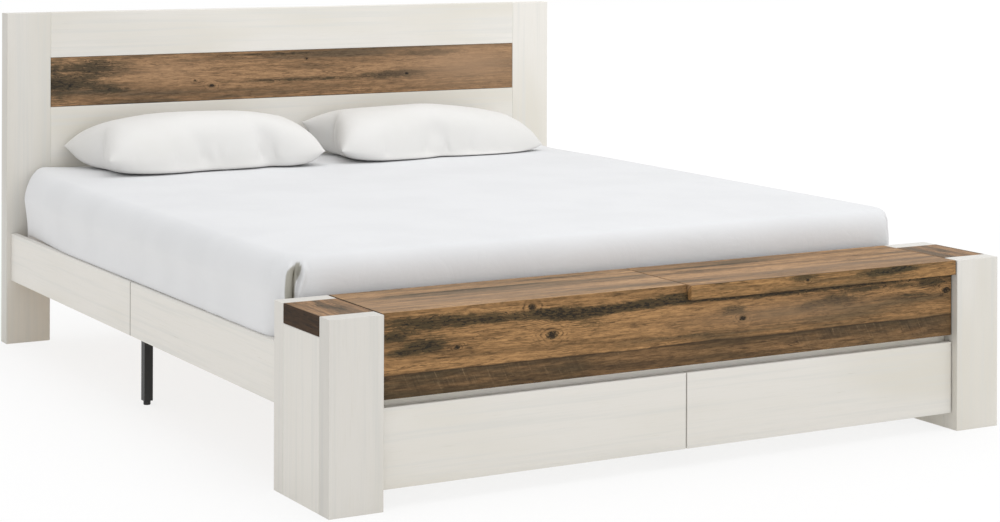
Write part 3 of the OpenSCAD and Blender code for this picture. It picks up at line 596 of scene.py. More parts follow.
def lower_plank(tree, solid, slanted, flat, parts, colour, seam_z, dull_places, marks):
    """Below seam_z the print is another plank, grey where it is dull.

    Each dull place and each run of saw marks is (x, half length, strength)."""
    ragged = noise(tree, solid, (4.0, 3, 1), 5.0, 0.65)
    line = maths(tree, "MULTIPLY_ADD", ragged, 0.012, seam_z - 0.006)
    above = maths(tree, "SUBTRACT", parts[AXES.index("Z")], line)
    below = fade(tree, above, 0.0012, -0.0012)
    seam = fade(tree, maths(tree, "ABSOLUTE", above), 0.0030, 0.0006)
    band = noise(tree, solid, (1.0, 26, 3), 4.0, 0.6)
    fibre = noise(tree, solid, (14, 420, 5), 2.0)
    plank = ramp(tree, band, [(0.38, PLANK["dark"]), (0.50, PLANK["mid"]), (0.62, PLANK["light"])])
    plank = blend(tree, share_of(tree, 0.4, fade(tree, fibre, 0.4, 0.7)), plank, PLANK["fibre"])
    dull = sum_of(tree, blobs(tree, flat, [(x, seam_z - 0.022, long, 0.050, strength)
                                           for x, long, strength in dull_places]))
    cloudy = fade(tree, noise(tree, solid, (3, 26, 9), 3.0), 0.25, 0.60)
    plank = blend(tree, maths(tree, "MULTIPLY", share_of(tree, 0.85, dull), cloudy), plank,
                  PLANK["dull"])
    # Saw teeth lean a little, and fade down from the seam
    teeth = noise(tree, slanted, (110, 9, 2), 3.0, 0.7)
    places = sum_of(tree, blobs(tree, flat, [(x, seam_z - 0.015, long, 0.026, strength)
                                             for x, long, strength in marks]))
    patchy = maths(tree, "MULTIPLY", places,
                   fade(tree, noise(tree, solid, (16, 40, 5), 3.0), 0.30, 0.58))
    plank = blend(tree, share_of(tree, 0.5, patchy), plank, PLANK["worn"])
    pale_teeth = maths(tree, "MULTIPLY", fade(tree, teeth, 0.52, 0.66), patchy)
    plank = blend(tree, share_of(tree, 0.50, pale_teeth), plank, PLANK["pale_tooth"])
    dark_teeth = maths(tree, "MULTIPLY", fade(tree, teeth, 0.46, 0.34), patchy)
    plank = blend(tree, share_of(tree, 0.65, dark_teeth), plank, PLANK["dark_tooth"])
    colour = blend(tree, below, colour, plank)
    return blend(tree, share_of(tree, 0.55, seam), colour, PLANK["seam"])


print("lower plank tones:", ", ".join(PLANK))

# %% The whole print of one board
def oak_print(name, across, seed, knots=(), patches=(), pale=(), edges=(), tones=OAK,
              plank=None, along="X", calm=0.0):
    """The print of one board whose grain runs along an axis.

    Each knot is (along, across, size, rings). Each patch is (along, across, half length, half
    width, strength), and so is each pale one. Each edge is (axis, from, to, strength) and goes
    dark from one place to the other. A plank is (height of its seam, dull places, saw marks). In a
    calm print, from 0 to 1, the lines, dashes, specks and cracks are fainter."""
    material, tree, shader = new_surface(name, Roughness=0.58, Specular_IOR_Level=0.12)
    solid, slanted, flat, parts = oak_place(tree, along, across, seed)
    wave = grain_wave(tree, solid, flat, parts[AXES.index(across)], knots)
    broken = fade(tree, noise(tree, slanted, (24, 80, 8), 4.0, 0.7), 0.34, 0.58)
    rings_seen = maths(tree, "MULTIPLY", fade(tree, wave, -0.1, -0.95), broken)
    # The lines show near the knots, in patches and faintly elsewhere
    near = blobs(tree, flat, [(x, t, 4.4 * size, 2.4 * size, 0.95) for x, t, size, _ in knots])
    worn = blobs(tree, flat, patches)
    everywhere = fade(tree, noise(tree, solid, (2.2, 11, 1), 2.0), 0.52, 0.72)
    shown = sum_of(tree, near + worn + [share_of(tree, 0.45, everywhere)])
    cover = sum_of(tree, worn + [share_of(tree, 0.14 * (1 - calm), everywhere)])
    # The layers, from the wood up
    colour, fibre = banded_wood(tree, solid, tones)
    if plank:
        colour = lower_plank(tree, solid, slanted, flat, parts, colour, *plank)
    colour = dashed(tree, solid, colour, tones, calm)
    colour = weathered(tree, slanted, colour, tones, cover, calm)
    lines = share_of(tree, 0.80 - 0.5 * calm, maths(tree, "MULTIPLY", rings_seen, shown))
    colour = blend(tree, lines, colour, tones["line"])
    crack = cracks_in(tree, solid)
    colour = blend(tree, share_of(tree, 0.7 - 0.3 * calm, crack), colour, tones["core"])
    for light in blobs(tree, flat, pale):
        colour = blend(tree, light, colour, OAK_PALE)
    colour = knot_cores(tree, slanted, flat, colour, tones, knots)
    for axis, start, end, strength in edges:
        rim = share_of(tree, strength, fade(tree, parts[AXES.index(axis)], start, end))
        colour = blend(tree, rim, colour, OAK_EDGE, "MULTIPLY")
    colour_it(tree, shader, colour)
    height = maths(tree, "SUBTRACT", share_of(tree, 0.4, fibre), maths(tree, "ADD", lines, crack))
    raise_bumps(tree, shader, height, 0.00022)
    return material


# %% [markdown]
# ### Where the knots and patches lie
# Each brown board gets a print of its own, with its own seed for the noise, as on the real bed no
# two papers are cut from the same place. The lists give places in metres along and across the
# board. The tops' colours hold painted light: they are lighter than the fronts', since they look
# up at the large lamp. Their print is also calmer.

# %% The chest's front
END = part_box("chest_front_panel")[1][0]
board_ends = [("X", 0.0025 - END, 0.0010 - END, 0.9), ("X", END - 0.0025, END - 0.0010, 0.9)]
front_knots = [(-0.391, 0.362, 0.021, 5), (-0.447, 0.434, 0.014, 3), (0.170, 0.355, 0.014, 4),
               (0.831, 0.374, 0.018, 6), (-0.650, 0.357, 0.010, 4)]
# Two of these patches are painted shade under the lid's lip: the one 0.408 high, and the long thin
# last one, a painted shadow line along the lip's lower edge. The others are the print's own marks.
front_patches_and_lip_shade = [(-0.733, 0.368, 0.060, 0.018, 0.95), (-0.801, 0.356, 0.040, 0.010, 0.7),
                 (-0.814, 0.395, 0.040, 0.010, 0.8), (-0.74, 0.424, 0.15, 0.021, 0.72),
                 (-0.56, 0.416, 0.12, 0.013, 0.75), (-0.40, 0.420, 0.06, 0.012, 0.8),
                 (-0.318, 0.406, 0.10, 0.013, 1.0), (-0.174, 0.411, 0.14, 0.012, 0.8),
                 (0.02, 0.424, 0.16, 0.014, 0.85), (-0.27, 0.378, 0.07, 0.010, 0.45),
                 (0.143, 0.378, 0.045, 0.013, 0.85), (0.30, 0.408, 0.20, 0.009, 0.75),
                 (0.464, 0.376, 0.085, 0.014, 1.0), (0.361, 0.366, 0.045, 0.009, 0.75),
                 (0.60, 0.398, 0.14, 0.010, 0.6), (0.79, 0.397, 0.07, 0.012, 0.8),
                 (0.708, 0.370, 0.08, 0.006, 0.6), (0.02, 0.325, 0.10, 0.006, 0.45),
                 (0.425, 0.4100, 0.46, 0.0035, 0.9)]
front_pale = [(0.30, 0.360, 0.30, 0.030, 0.28)]
dull_places = [(-0.74, 0.26, 1.0), (-0.33, 0.06, 0.5), (0.12, 0.12, 0.4), (0.60, 0.36, 0.8)]
saw_marks = [(-0.64, 0.17, 1.0), (-0.36, 0.07, 0.8), (-0.20, 0.05, 0.5), (0.46, 0.13, 1.0),
             (0.72, 0.13, 1.0)]
chest_front = oak_print("oak_chest_front", "Z", 3.0, front_knots, front_patches_and_lip_shade, front_pale,
                        board_ends, plank=(0.3065, dull_places, saw_marks))
print("chest front:", len(front_knots), "knots and", len(front_patches_and_lip_shade), "patches")

# %% The lid's lip and the two halves of the chest's top
lip_tones = tinted(OAK, 1.16, (1.0, 1.0, 0.96))
lid_front = oak_print("oak_lid_lip", "Z", 8.0, [(0.360, 0.439, 0.008, 3)],
                      [(0.34, 0.445, 0.06, 0.009, 0.75), (0.60, 0.440, 0.08, 0.010, 0.9),
                       (0.68, 0.446, 0.06, 0.008, 0.8), (0.087, 0.451, 0.02, 0.004, 0.7)],
                      edges=board_ends[1:] + [("Z", 0.4508, 0.4520, 0.6),
                                              ("Z", 0.4168, 0.4156, 0.6)], tones=lip_tones)
# Painted light: the tops' colours are lighter than the fronts'
painted_lit_top_tones = tinted(OAK, 1.16, (1.0, 1.06, 1.25))
chest_top = oak_print("oak_chest_top", "Y", 12.0, [],
                      [(-0.52, -0.990, 0.28, 0.011, 0.8), (-0.66, -1.06, 0.16, 0.010, 0.5),
                       (-0.20, -0.940, 0.20, 0.014, 0.5)],
                      [(-0.45, -1.09, 0.5, 0.06, 0.35)],
                      board_ends[:1] + [("X", -0.0056, -0.0036, 0.9)],
                      tinted(painted_lit_top_tones, 1.15, (1, 1.03, 1.08)), calm=0.3)
lid_top = oak_print("oak_lid_top", "Y", 17.0, [],
                    [(0.26, -0.965, 0.22, 0.011, 0.8), (0.16, -1.015, 0.10, 0.006, 0.6),
                     (0.60, -1.07, 0.20, 0.012, 0.5)],
                    [(0.45, -1.12, 0.4, 0.05, 0.35)],
                    board_ends[1:], painted_lit_top_tones, calm=0.3)
print("chest top, lid and lip printed")

# %% The headboard's band and the caps of the posts
INLAY_END = 0.849
inlay_tones = tinted(OAK, 1.08, (1.0, 1.07, 1.33))
inlay = oak_print("oak_inlay", "Z", 22.0,
                  [(-0.297, 0.790, 0.013, 3), (0.428, 0.806, 0.010, 3), (-0.356, 0.809, 0.006, 2),
                   (0.048, 0.868, 0.007, 2), (-0.785, 0.806, 0.010, 3)],
                  [(-0.70, 0.866, 0.10, 0.022, 0.48), (-0.80, 0.812, 0.10, 0.018, 0.52),
                   (-0.639, 0.790, 0.06, 0.010, 0.5), (0.40, 0.808, 0.13, 0.013, 0.9),
                   (0.532, 0.874, 0.13, 0.013, 0.85), (0.02, 0.800, 0.28, 0.008, 0.6),
                   (-0.05, 0.888, 0.25, 0.007, 0.6), (0.69, 0.787, 0.12, 0.004, 0.6),
                   # The two wide faint patches at the left end are painted shade, and the first pale
                   # place, at the right end, is painted light: the band turns darker to the left
                   (-0.84, 0.83, 0.04, 0.09, 0.4), (-0.72, 0.82, 0.16, 0.10, 0.38)],
                  [(0.68, 0.83, 0.26, 0.08, 0.70), (-0.46, 0.84, 0.16, 0.05, 0.25)],
                  [("X", 0.0022 - INLAY_END, 0.0008 - INLAY_END, 0.6), ("Z", 0.7432, 0.7418, 0.6),
                   ("Z", 0.8972, 0.8984, 0.5)],
                  inlay_tones, calm=0.3)
cap = oak_print("oak_post_cap", "X", 27.0, [],
                [(-1.03, -0.93, 0.05, 0.02, 0.6), (-1.08, -0.90, 0.05, 0.015, 0.6),
                 (-1.05, 0.93, 0.05, 0.02, 0.6)],
                edges=[("X", -0.9900, -0.9915, 0.92), ("X", 0.9900, 0.9915, 0.92)],
                tones=tinted(OAK, 0.99, (1.0, 1.06, 1.30)), along="Y", calm=0.4)
oak_of = {
    "chest_front_panel": chest_front, "lid_lip": lid_front, "chest_top_fixed": chest_top,
    "lid_board": lid_top, "headboard_inlay_panel": inlay,
    "post_left_cap": cap, "post_right_cap": cap,
}
print("oak print on", sorted(oak_of))


# %% [markdown]
# ## Plain woods, boards and metals
# Slats, beam and battens are planed softwood. The drawer boxes are white melamine. Legs, hangers
# and brackets are powder-coated steel, and hinges, bolts and slides are zinc plated. One recipe
# with a few values to set serves the metals and the plastic, since they differ only in colour,
# gloss and how coarse their grit is.

# %% Softwood, melamine, steel and plastic
EARLY_WOOD = linear(226, 200, 158)
LATE_WOOD = linear(205, 170, 122)
PINE_FIBRE = linear(190, 156, 112)


def softwood(grain):
    """Planed pine: broad early wood, narrow late wood, and fine fibres along the grain."""
    material, tree, shader = new_surface("softwood_" + grain, Roughness=0.6)
    place = object_place(tree)
    drift = noise(tree, place, along_grain(grain, 0.7, 16), 3.0)
    rings = maths(tree, "SINE", maths(tree, "MULTIPLY", drift, 60.0))
    fibre = noise(tree, place, along_grain(grain, 12, 500), 2.0)
    colour = ramp(tree, fade(tree, rings, -0.6, 1.0), [(0.0, EARLY_WOOD), (1.0, LATE_WOOD)])
    colour = blend(tree, maths(tree, "MULTIPLY", fibre, 0.3), colour, PINE_FIBRE)
    colour_it(tree, shader, colour)
    raise_bumps(tree, shader, fibre, 0.00015)
    return material


def melamine():
    """White coated chipboard with the faint orange-peel of a pressed film."""
    material, tree, shader = new_surface("white_melamine", Roughness=0.38)
    place = object_place(tree)
    peel = noise(tree, place, (900, 900, 900), 2.0)
    cloud = noise(tree, place, (3, 3, 3), 2.0)
    colour_it(tree, shader, blend(tree, cloud, linear(238, 237, 233), linear(231, 230, 226)))
    raise_bumps(tree, shader, peel, 0.00004)
    return material


def coated_steel(name, colour, rough, metal, grit):
    """Steel under powder coat or zinc: a fine grit in the gloss and the bumps."""
    material, tree, shader = new_surface(name, Metallic=metal)
    place = object_place(tree)
    grain = noise(tree, place, (grit, grit, grit), 3.0, 0.7)
    cloud = noise(tree, place, (12, 12, 12), 3.0)
    darker = tuple(c * 0.72 for c in colour[:3]) + (1.0,)
    colour_it(tree, shader, blend(tree, fade(tree, cloud, 0.35, 0.7), colour, darker))
    tree.links.new(maths(tree, "MULTIPLY_ADD", grain, 0.25, rough - 0.12),
                   shader.inputs["Roughness"])
    raise_bumps(tree, shader, grain, 0.00005)
    return material


softwood_by_grain = {axis: softwood(axis) for axis in AXES}
plain_by_slot = {
    "white_board": melamine(),
    "black_steel": coated_steel("black_powder_coat", linear(16, 16, 17), 0.42, 0.0, 1400),
    "black_plastic": coated_steel("black_moulded_plastic", linear(22, 22, 22), 0.5, 0.0, 2200),
    "zinc_steel": coated_steel("zinc_plated_steel", linear(188, 190, 192), 0.34, 1.0, 700),
}
print("plain finishes:", sorted(plain_by_slot))

# %% Every carried-over solid gets its finish
SOFT_NODES = {"mattress", "fitted_sheet", "pillow_left", "pillow_right"}


def grain_axis(node):
    """The axis along which a board is longest, which is the way its grain runs."""
    if node == "headboard_back_battens":
        return "Z"
    low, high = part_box(node)
    return AXES[int(np.argmax(np.array(high) - np.array(low)))]


def finish_of(node):
    """The material for a node: its own oak print, or the finish of its slot."""
    if node in oak_of:
        return oak_of[node]
    if slot_of[node] == "white_laminate":
        return white_for(node, grain_axis(node))
    if slot_of[node] == "pale_wood":
        return softwood_by_grain["X" if node.startswith("slats") else grain_axis(node)]
    return plain_by_slot[slot_of[node]]


for name, piece in nodes.items():
    if name in SOFT_NODES:
        continue
    if not piece.material_slots:
        piece.data.materials.append(None)
    for place in piece.material_slots:
        place.material = finish_of(name)
print("finished", len(nodes) - len(SOFT_NODES), "nodes")

# %% [markdown]
# ## Cotton
# Percale is a plain tight weave, almost without gloss. Its threads are far too fine to model, so
# they are bumps, and slow creases are bumps too. A little sheen stands for the fuzz of the fibres.
# Where cloth lies doubled in a tuck, shade is painted into its colour; an attribute of the mesh
# says where.

# %% Cotton and ticking
# Painted shade for a tuck: its pocket and its slit
TUCK_POCKET_SHADE = linear(160, 157, 146)
TUCK_SLIT_SHADE = linear(82, 77, 62)


def cotton(name, light, shade, weave=0.0004, slack=0.0008, with_painted_fold_shade=False):
    """Woven cotton: a fine weave in the bumps, and slow creases that only light shows.

    Where the mesh's own attribute for it is above 0, the shade of a tuck is painted into the colour."""
    material, tree, shader = new_surface(name, Roughness=0.82)
    place = object_place(tree)
    cloud = noise(tree, place, (5, 5, 5), 3.0)
    colour = blend(tree, fade(tree, cloud, 0.35, 0.7), light, shade)
    # Painted shade of a tuck: shaded grey in the pocket and dark in the slit
    if with_painted_fold_shade:
        painted_fold_shade = add(tree, "ShaderNodeAttribute", output="Fac", attribute_name="painted_fold_shade")
        colour = blend(tree, fade(tree, painted_fold_shade, 0.0, 0.5), colour, TUCK_POCKET_SHADE)
        colour = blend(tree, fade(tree, painted_fold_shade, 0.5, 1.0), colour, TUCK_SLIT_SHADE)
    colour_it(tree, shader, colour)
    crease = noise(tree, place, (9, 6, 8), 4.0, 0.55, 0.6)
    thread = noise(tree, place, (1300, 1300, 1300), 1.0)
    height = maths(tree, "MULTIPLY_ADD", thread, weave / slack * 0.2, crease)
    raise_bumps(tree, shader, height, slack)
    shader.inputs["Sheen Weight"].default_value = 0.08
    shader.inputs["Sheen Roughness"].default_value = 0.5
    return material


sheet_cotton = cotton("sheet_percale", linear(223, 224, 226), linear(220, 221, 223),
                      slack=0.0025, with_painted_fold_shade=True)
pillow_cotton = cotton("pillow_percale", linear(226, 225, 223), linear(223, 222, 219),
                       slack=0.0015)
ticking = cotton("mattress_ticking", linear(228, 226, 218), linear(220, 217, 208))
print("three cottons")

# %% [markdown]
# ## Mattress
# A mattress is a stuffed box: its edges are rolled, its sides draw in a little between them, and
# its top is quilted. A cube with its edges bevelled would be the quick way, but it could not swell
# over the rails. So it is a stack of rings, each ring a rounded rectangle, as a loft in a CAD
# program, and every point can still be moved by a formula of its place.

# %% Rings, and grids of faces between them
LEAST_RADIUS = 0.012


def rounded_loop(low, high, inset, foot_radius, head_radius, arc_steps, side_steps):
    """Points round the rectangle from low to high, drawn in by inset, with round corners.

    Each corner is an arc, centre + r (cos a, sin a) with r = radius - inset, and each side is a
    straight row of points between two arcs. The answer has the shape (points, 2)."""
    turn = np.radians(np.linspace(0, 90, arc_steps + 1))
    arcs = []
    for side_x, side_y, start, radius in ((1, -1, -90, foot_radius), (1, 1, 0, head_radius),
                                          (-1, 1, 90, head_radius), (-1, -1, 180, foot_radius)):
        r = max(radius - inset, LEAST_RADIUS)
        centre_x = (high[0] - inset - r) if side_x > 0 else (low[0] + inset + r)
        centre_y = (high[1] - inset - r) if side_y > 0 else (low[1] + inset + r)
        a = math.radians(start) + turn
        arcs.append(np.column_stack([centre_x + r * np.cos(a), centre_y + r * np.sin(a)]))
    share = np.linspace(0, 1, side_steps + 2)[1:-1, None]
    rows = []
    for arc, following in zip(arcs, arcs[1:] + arcs[:1]):
        rows += [arc, arc[-1] + (following[0] - arc[-1]) * share]
    return np.concatenate(rows)


def ring_faces(rings, points, first=0, flip=False):
    """Quads between neighbouring rings of a stack, each ring closed on itself."""
    i = np.arange(points)
    k = np.arange(rings - 1)[:, None]
    a = first + k * points + i
    b = first + k * points + (i + 1) % points
    quads = np.stack([a, b, b + points, a + points], axis=-1).reshape(-1, 4)
    return quads[:, ::-1] if flip else quads


def new_piece(name, points, faces, material):
    """A smooth-shaded piece from an array of points and a list of arrays of faces."""
    mesh = bpy.data.meshes.new(name)
    all_faces = [face for rows in faces for face in rows.tolist()]
    mesh.from_pydata(points.reshape(-1, 3).tolist(), [], all_faces)
    mesh.shade_smooth()
    mesh.update()
    mesh.materials.append(material)
    piece = bpy.data.objects.new(name, mesh)
    scene.collection.objects.link(piece)
    return piece


def normals_of(grid):
    """Unit normals of a stack of rings, from the steps along and across the rings."""
    along = np.roll(grid, -1, axis=1) - np.roll(grid, 1, axis=1)
    across = np.gradient(grid, axis=0)
    n = np.cross(along, across)
    return n / np.linalg.norm(n, axis=2, keepdims=True)


print("two rings of four points make", len(ring_faces(2, 4)), "faces")

# %% Measures of the mattress, round the frame's solid
# Corners seen from above, rolled edges, drawn-in sides and the crown of the top
MATTRESS_FOOT_CORNER = 0.160
MATTRESS_HEAD_CORNER = 0.070
MATTRESS_ROLL = 0.042
TOP_ROLL = 0.058
TOP_ROLL_HIGH = 0.084
MATTRESS_DRAW_IN = 0.005
MATTRESS_CROWN = 0.008
CROWN_REACH = 0.25
MIDDLE_GAP = 0.03
# How far a side stands out over the rail, low and high on it, and how soon that begins
SWELL_LOW, SWELL_HIGH = 0.030, 0.022
SWELL_CLEAR = 0.0006
SWELL_STEEP, SWELL_SLOW = 0.0020, 0.030
SWELL_STEEP_SHARE = 0.85
# Towards the head, from y = 0.60 on, a fainter swelling takes over
HEAD_SWELL = 0.010
HEADWARD_FROM, HEADWARD_OVER = 0.60, 0.50
# The head end is pressed in and up from a place (y, z) on, and its corners stand up most
PRESSED_FROM, PRESSED_OVER = (0.95, 0.45), (0.15, 0.09)
PRESSED_IN = 0.65
PRESSED_UP, CORNER_UP = 0.006, 0.005
CORNER_AT, CORNER_WIDE = 0.88, 0.06
# The pull on the right foot corner: its direction, where it begins and how softly
PULL_WAY = (0.790, -0.613)
PULLED_TO = 1.222
PULL_SOFT = 0.012
# Points on a corner's arc and on a side, and extra levels just above the rail
ARC_STEPS = 56
SIDE_STEPS = 34
ABOVE_RAIL = (0.0006, 0.0012, 0.0018, 0.0024, 0.0032, 0.0045, 0.007, 0.011)

mattress_low, mattress_high = (np.array(p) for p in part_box("mattress"))
rail_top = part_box("side_rail_left_foot")[1][2]
print("mattress from", mattress_low, "to", mattress_high, "with the rail's top at", rail_top)


# %% The profile, from the underside to the middle of the top
def mattress_profile():
    """Pairs of inset and height from the underside, up the side and in to the middle of the top.

    The lower roll is a quarter circle of radius R: inset R (1 - sin a), height R (1 - cos a). The
    upper one is a quarter ellipse, higher than it is wide. The side draws in by d sin(pi t), and
    its points lie closer together just above the rail. The crown rises as 1 - (1 - t)^2 over its
    reach, and is flat past it."""
    bottom, top = mattress_low[2], mattress_high[2]
    foot, head = bottom + MATTRESS_ROLL, top - MATTRESS_CROWN - TOP_ROLL_HIGH
    a = np.radians(np.linspace(0, 90, 9))
    lower = np.column_stack([MATTRESS_ROLL * (1 - np.sin(a)),
                             bottom + MATTRESS_ROLL * (1 - np.cos(a))])
    levels = np.union1d(np.linspace(foot, head, 30)[1:-1], rail_top + np.array(ABOVE_RAIL))
    t = (levels - foot) / (head - foot)
    wall = np.column_stack([MATTRESS_DRAW_IN * np.sin(math.pi * t), levels])
    a = np.radians(np.linspace(0, 90, 15))
    upper = np.column_stack([TOP_ROLL * (1 - np.cos(a)), head + TOP_ROLL_HIGH * np.sin(a)])
    t = np.linspace(0, 1, 13)[1:]
    crown = np.column_stack([TOP_ROLL + t * CROWN_REACH, top - MATTRESS_CROWN * (1 - t) ** 2])
    half_width = (mattress_high[0] - mattress_low[0]) / 2
    inner = np.linspace(TOP_ROLL + CROWN_REACH, half_width - MIDDLE_GAP, 16)[1:]
    middle = np.column_stack([inner, np.full(len(inner), top)])
    return np.concatenate([lower, wall, upper, crown, middle])


profile = mattress_profile()
print("profile of", len(profile), "points")


# %% The rings, swollen over the rails
def ease_in(t):
    """0 below 0, 1 above 1 and 3 t^2 - 2 t^3 between."""
    t = np.clip(t, 0, 1)
    return t * t * (3 - 2 * t)


def mattress_grid(profile, foot_corner):
    """The rings of the mattress, whose sides swell out over the rails.

    The recess is narrower than the mattress. Above the rails a side stands out by a few
    centimetres, less towards the head, and the swelling fades as (|x| / half width)^3. The
    head end is pressed against the headboard, so its roll is tighter and stands a little higher.
    The sheet's corner pulls the right foot corner in: with s the place along PULL_WAY, what lies
    past s0 is brought back to s0 + d (1 - exp(-(s - s0) / d))."""
    rings = []
    for inset, height in profile:
        loop = rounded_loop(mattress_low, mattress_high, inset, foot_corner,
                            MATTRESS_HEAD_CORNER, ARC_STEPS, SIDE_STEPS)
        rings.append(np.column_stack([loop, np.full(len(loop), height)]))
    grid = np.stack(rings)
    x, y, z = np.moveaxis(grid, 2, 0)
    above = z - rail_top
    rise = np.clip(above / (mattress_high[2] - rail_top), 0, 1)
    swell = (SWELL_STEEP_SHARE * ease_in((above - SWELL_CLEAR) / SWELL_STEEP)
             + (1 - SWELL_STEEP_SHARE) * ease_in(above / SWELL_SLOW))
    over_rail = (SWELL_LOW + (SWELL_HIGH - SWELL_LOW) * rise) * swell
    at_head = HEAD_SWELL * np.sin(math.pi * rise)
    headward = ease_in((y - HEADWARD_FROM) / HEADWARD_OVER)
    out = (over_rail * (1 - headward) + at_head * headward) * (np.abs(x) / mattress_high[0]) ** 3
    grid[..., 0] += np.sign(x) * out
    inset = np.minimum(profile[:, 0], TOP_ROLL)[:, None]
    pressed = (ease_in((y - PRESSED_FROM[0]) / PRESSED_OVER[0])
               * ease_in((z - PRESSED_FROM[1]) / PRESSED_OVER[1]))
    grid[..., 1] += PRESSED_IN * inset * pressed
    corner = np.exp(-((np.abs(x) - CORNER_AT) / CORNER_WIDE) ** 2)
    grid[..., 2] += (PRESSED_UP + CORNER_UP * corner) * pressed
    past = np.maximum(grid[..., :2] @ PULL_WAY - PULLED_TO, 0)
    back = past - PULL_SOFT * (1 - np.exp(-past / PULL_SOFT))
    grid[..., :2] -= back[..., None] * PULL_WAY
    return grid


body_grid = mattress_grid(profile, MATTRESS_FOOT_CORNER)
print("mattress rings:", body_grid.shape, "height", round(mattress_high[2] - mattress_low[2], 3))

# %% The mattress: a quilted top and a channelled border
QUILT_STEP = 0.16
BORDER_STEP = 0.05
QUILT_DEPTH = 0.004
BODY_CLEAR = 0.0005

# Quilting: the top sinks to its seams as 1 - sqrt|sin sin|, and the border to its channels alike
x, y, z = np.moveaxis(body_grid, 2, 0)
quilt = np.abs(np.sin(math.pi * (x + y) / QUILT_STEP) * np.sin(math.pi * (x - y) / QUILT_STEP))
on_top = profile[:, 0][:, None] > MATTRESS_ROLL
border = np.abs(np.sin(math.pi * (z - mattress_low[2]) / BORDER_STEP))
depth = np.where(on_top, 1 - np.sqrt(quilt), 1 - np.sqrt(border)) * QUILT_DEPTH
body = body_grid - normals_of(body_grid) * (BODY_CLEAR + depth)[..., None]
rings, points = body.shape[:2]
loops = body.reshape(-1, 3)
caps = [np.arange(points)[::-1][None, :], (rings - 1) * points + np.arange(points)[None, :]]
mattress = new_piece("mattress_body", loops, [ring_faces(rings, points)] + caps, ticking)
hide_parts("mattress")
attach(mattress, "root")
print("mattress", len(loops), "points")

# %% [markdown]
# ## Fitted sheet
# The sheet is cut larger than the mattress, its corners are sewn, and elastic pulls its hem under
# the lower edge. So it hugs the form and keeps only a little slack: slow waves on the top, and a
# tuck at a foot corner, where the cloth of the side folds over the cloth of the foot. Cloth
# simulation would need a seam, an elastic hem and many trials for that one tuck. The sheet is
# instead the same rings as the mattress, a hair larger, and the tuck is a formula of the angle
# round the corner and of the height. At the right corner the cloth is pulled tight, so its tuck is
# only a quarter as deep. The sheet has an outer and an inner skin, joined at the hem.

# %% The slack at a foot corner
SHEET_GROW = 0.0004
SHEET_THICK = 0.0011
SHEET_FOOT_CORNER = 0.100
HEM_RING = 4
TUCK_TOP = 0.530
TUCK_ANGLE = 306.0


def tuck(angle, height):
    """How far the slack at a foot corner stands out or sinks in, in metres.

    The angle is 270 on the foot face and 360 on the side. The corner's seam is a narrow slit at
    its centre. The side's cloth bulges beside it, and the foot's cloth sinks into a leaf-shaped
    hollow with a raised rim. Each of these four is a height in metres times a bell of the angle,
    exp(-((a - a0) / width)^2), and the hollow's width shrinks downwards."""
    a = angle - TUCK_ANGLE
    grows = ease_in((TUCK_TOP - height) / 0.025)
    wide = 0.35 + 0.65 * ease_in((height - 0.455) / 0.05)
    lobe = 0.009 * np.exp(-((a - 6.5) / 5.5) ** 2)
    slit = -0.012 * np.exp(-(a / 1.6) ** 2)
    hollow = -0.018 * wide * np.exp(-((a + 2 + 4.5 * wide) / (2 + 3.5 * wide)) ** 2)
    rim = 0.010 * np.exp(-((a + 7 + 10 * wide) / 3.5) ** 2)
    return grows * (lobe + slit + hollow + rim)


def fold_shade(angle, height):
    """Painted shade of a tuck: 0 on open cloth, 0.5 in its leaf-shaped pocket and 1 in its slit.

    The pocket's two borders are angles that change with height, as read off the photograph."""
    side = np.interp(height, [0.500, 0.517, 0.528], [316, 310, 303])
    foot = np.interp(height, [0.470, 0.487, 0.505, 0.517, 0.528], [301.5, 300, 294, 291, 296])
    inside = ease_in((angle - foot) / 2.5) * ease_in((side - angle) / 2.5)
    slit = np.exp(-((angle - TUCK_ANGLE) / 1.3) ** 2) * ease_in((0.518 - height) / 0.010)
    return inside * ease_in((0.529 - height) / 0.005) * (0.42 + 0.58 * slit)


print("the tuck's seam lies", round(-float(tuck(TUCK_ANGLE, 0.5)), 4), "m deep at a height of 0.5 m")

# %% The sheet's outer and inner skin
WAVE_HIGH, RIPPLE_HIGH = 0.0011, 0.0006
UPRIGHT_HIGH, UPRIGHT_TURNS = 0.0012, 52
UPRIGHT_FROM, UPRIGHT_OVER = 0.54, 0.08
CORNER_FADE = 0.30
CORNER_MARGIN = 0.02
RIGHT_TUCK = 0.25

sheet_profile = profile[HEM_RING:]
base = mattress_grid(sheet_profile, SHEET_FOOT_CORNER)
outer = base + normals_of(base) * (SHEET_GROW + SHEET_THICK)
x, y, z = np.moveaxis(outer, 2, 0)
normal = normals_of(outer)
inset = sheet_profile[:, 0][:, None]
# Slow waves of slack on the top, and upright waves on the sides that grow towards the corners
top_share = np.clip(inset / MATTRESS_ROLL - 1, 0, 1)
waves = (WAVE_HIGH * np.sin(2.1 * x + 3.4 * y + 0.6) * np.sin(4.6 * y - 1.7 * x)
         + RIPPLE_HIGH * np.sin(9.0 * x - 4.0 * y) * np.sin(3.0 * y + 5.0 * x + 1.0))
corner_x = mattress_high[0] + SWELL_HIGH - SHEET_FOOT_CORNER
corner_y = mattress_low[1] + SHEET_FOOT_CORNER
away = np.hypot(np.abs(x) - corner_x, y - corner_y)
near_corner = np.exp(-((away - SHEET_FOOT_CORNER) / CORNER_FADE) ** 2)
low_share = np.clip((UPRIGHT_FROM - z) / UPRIGHT_OVER, 0, 1)
upright = UPRIGHT_HIGH * near_corner * (1 + np.sin(UPRIGHT_TURNS * (x + y))) * low_share
angle = np.degrees(np.arctan2(y - corner_y, np.abs(x) - corner_x)) % 360
in_corner = (y < corner_y + CORNER_MARGIN) & (np.abs(x) > corner_x - CORNER_MARGIN)
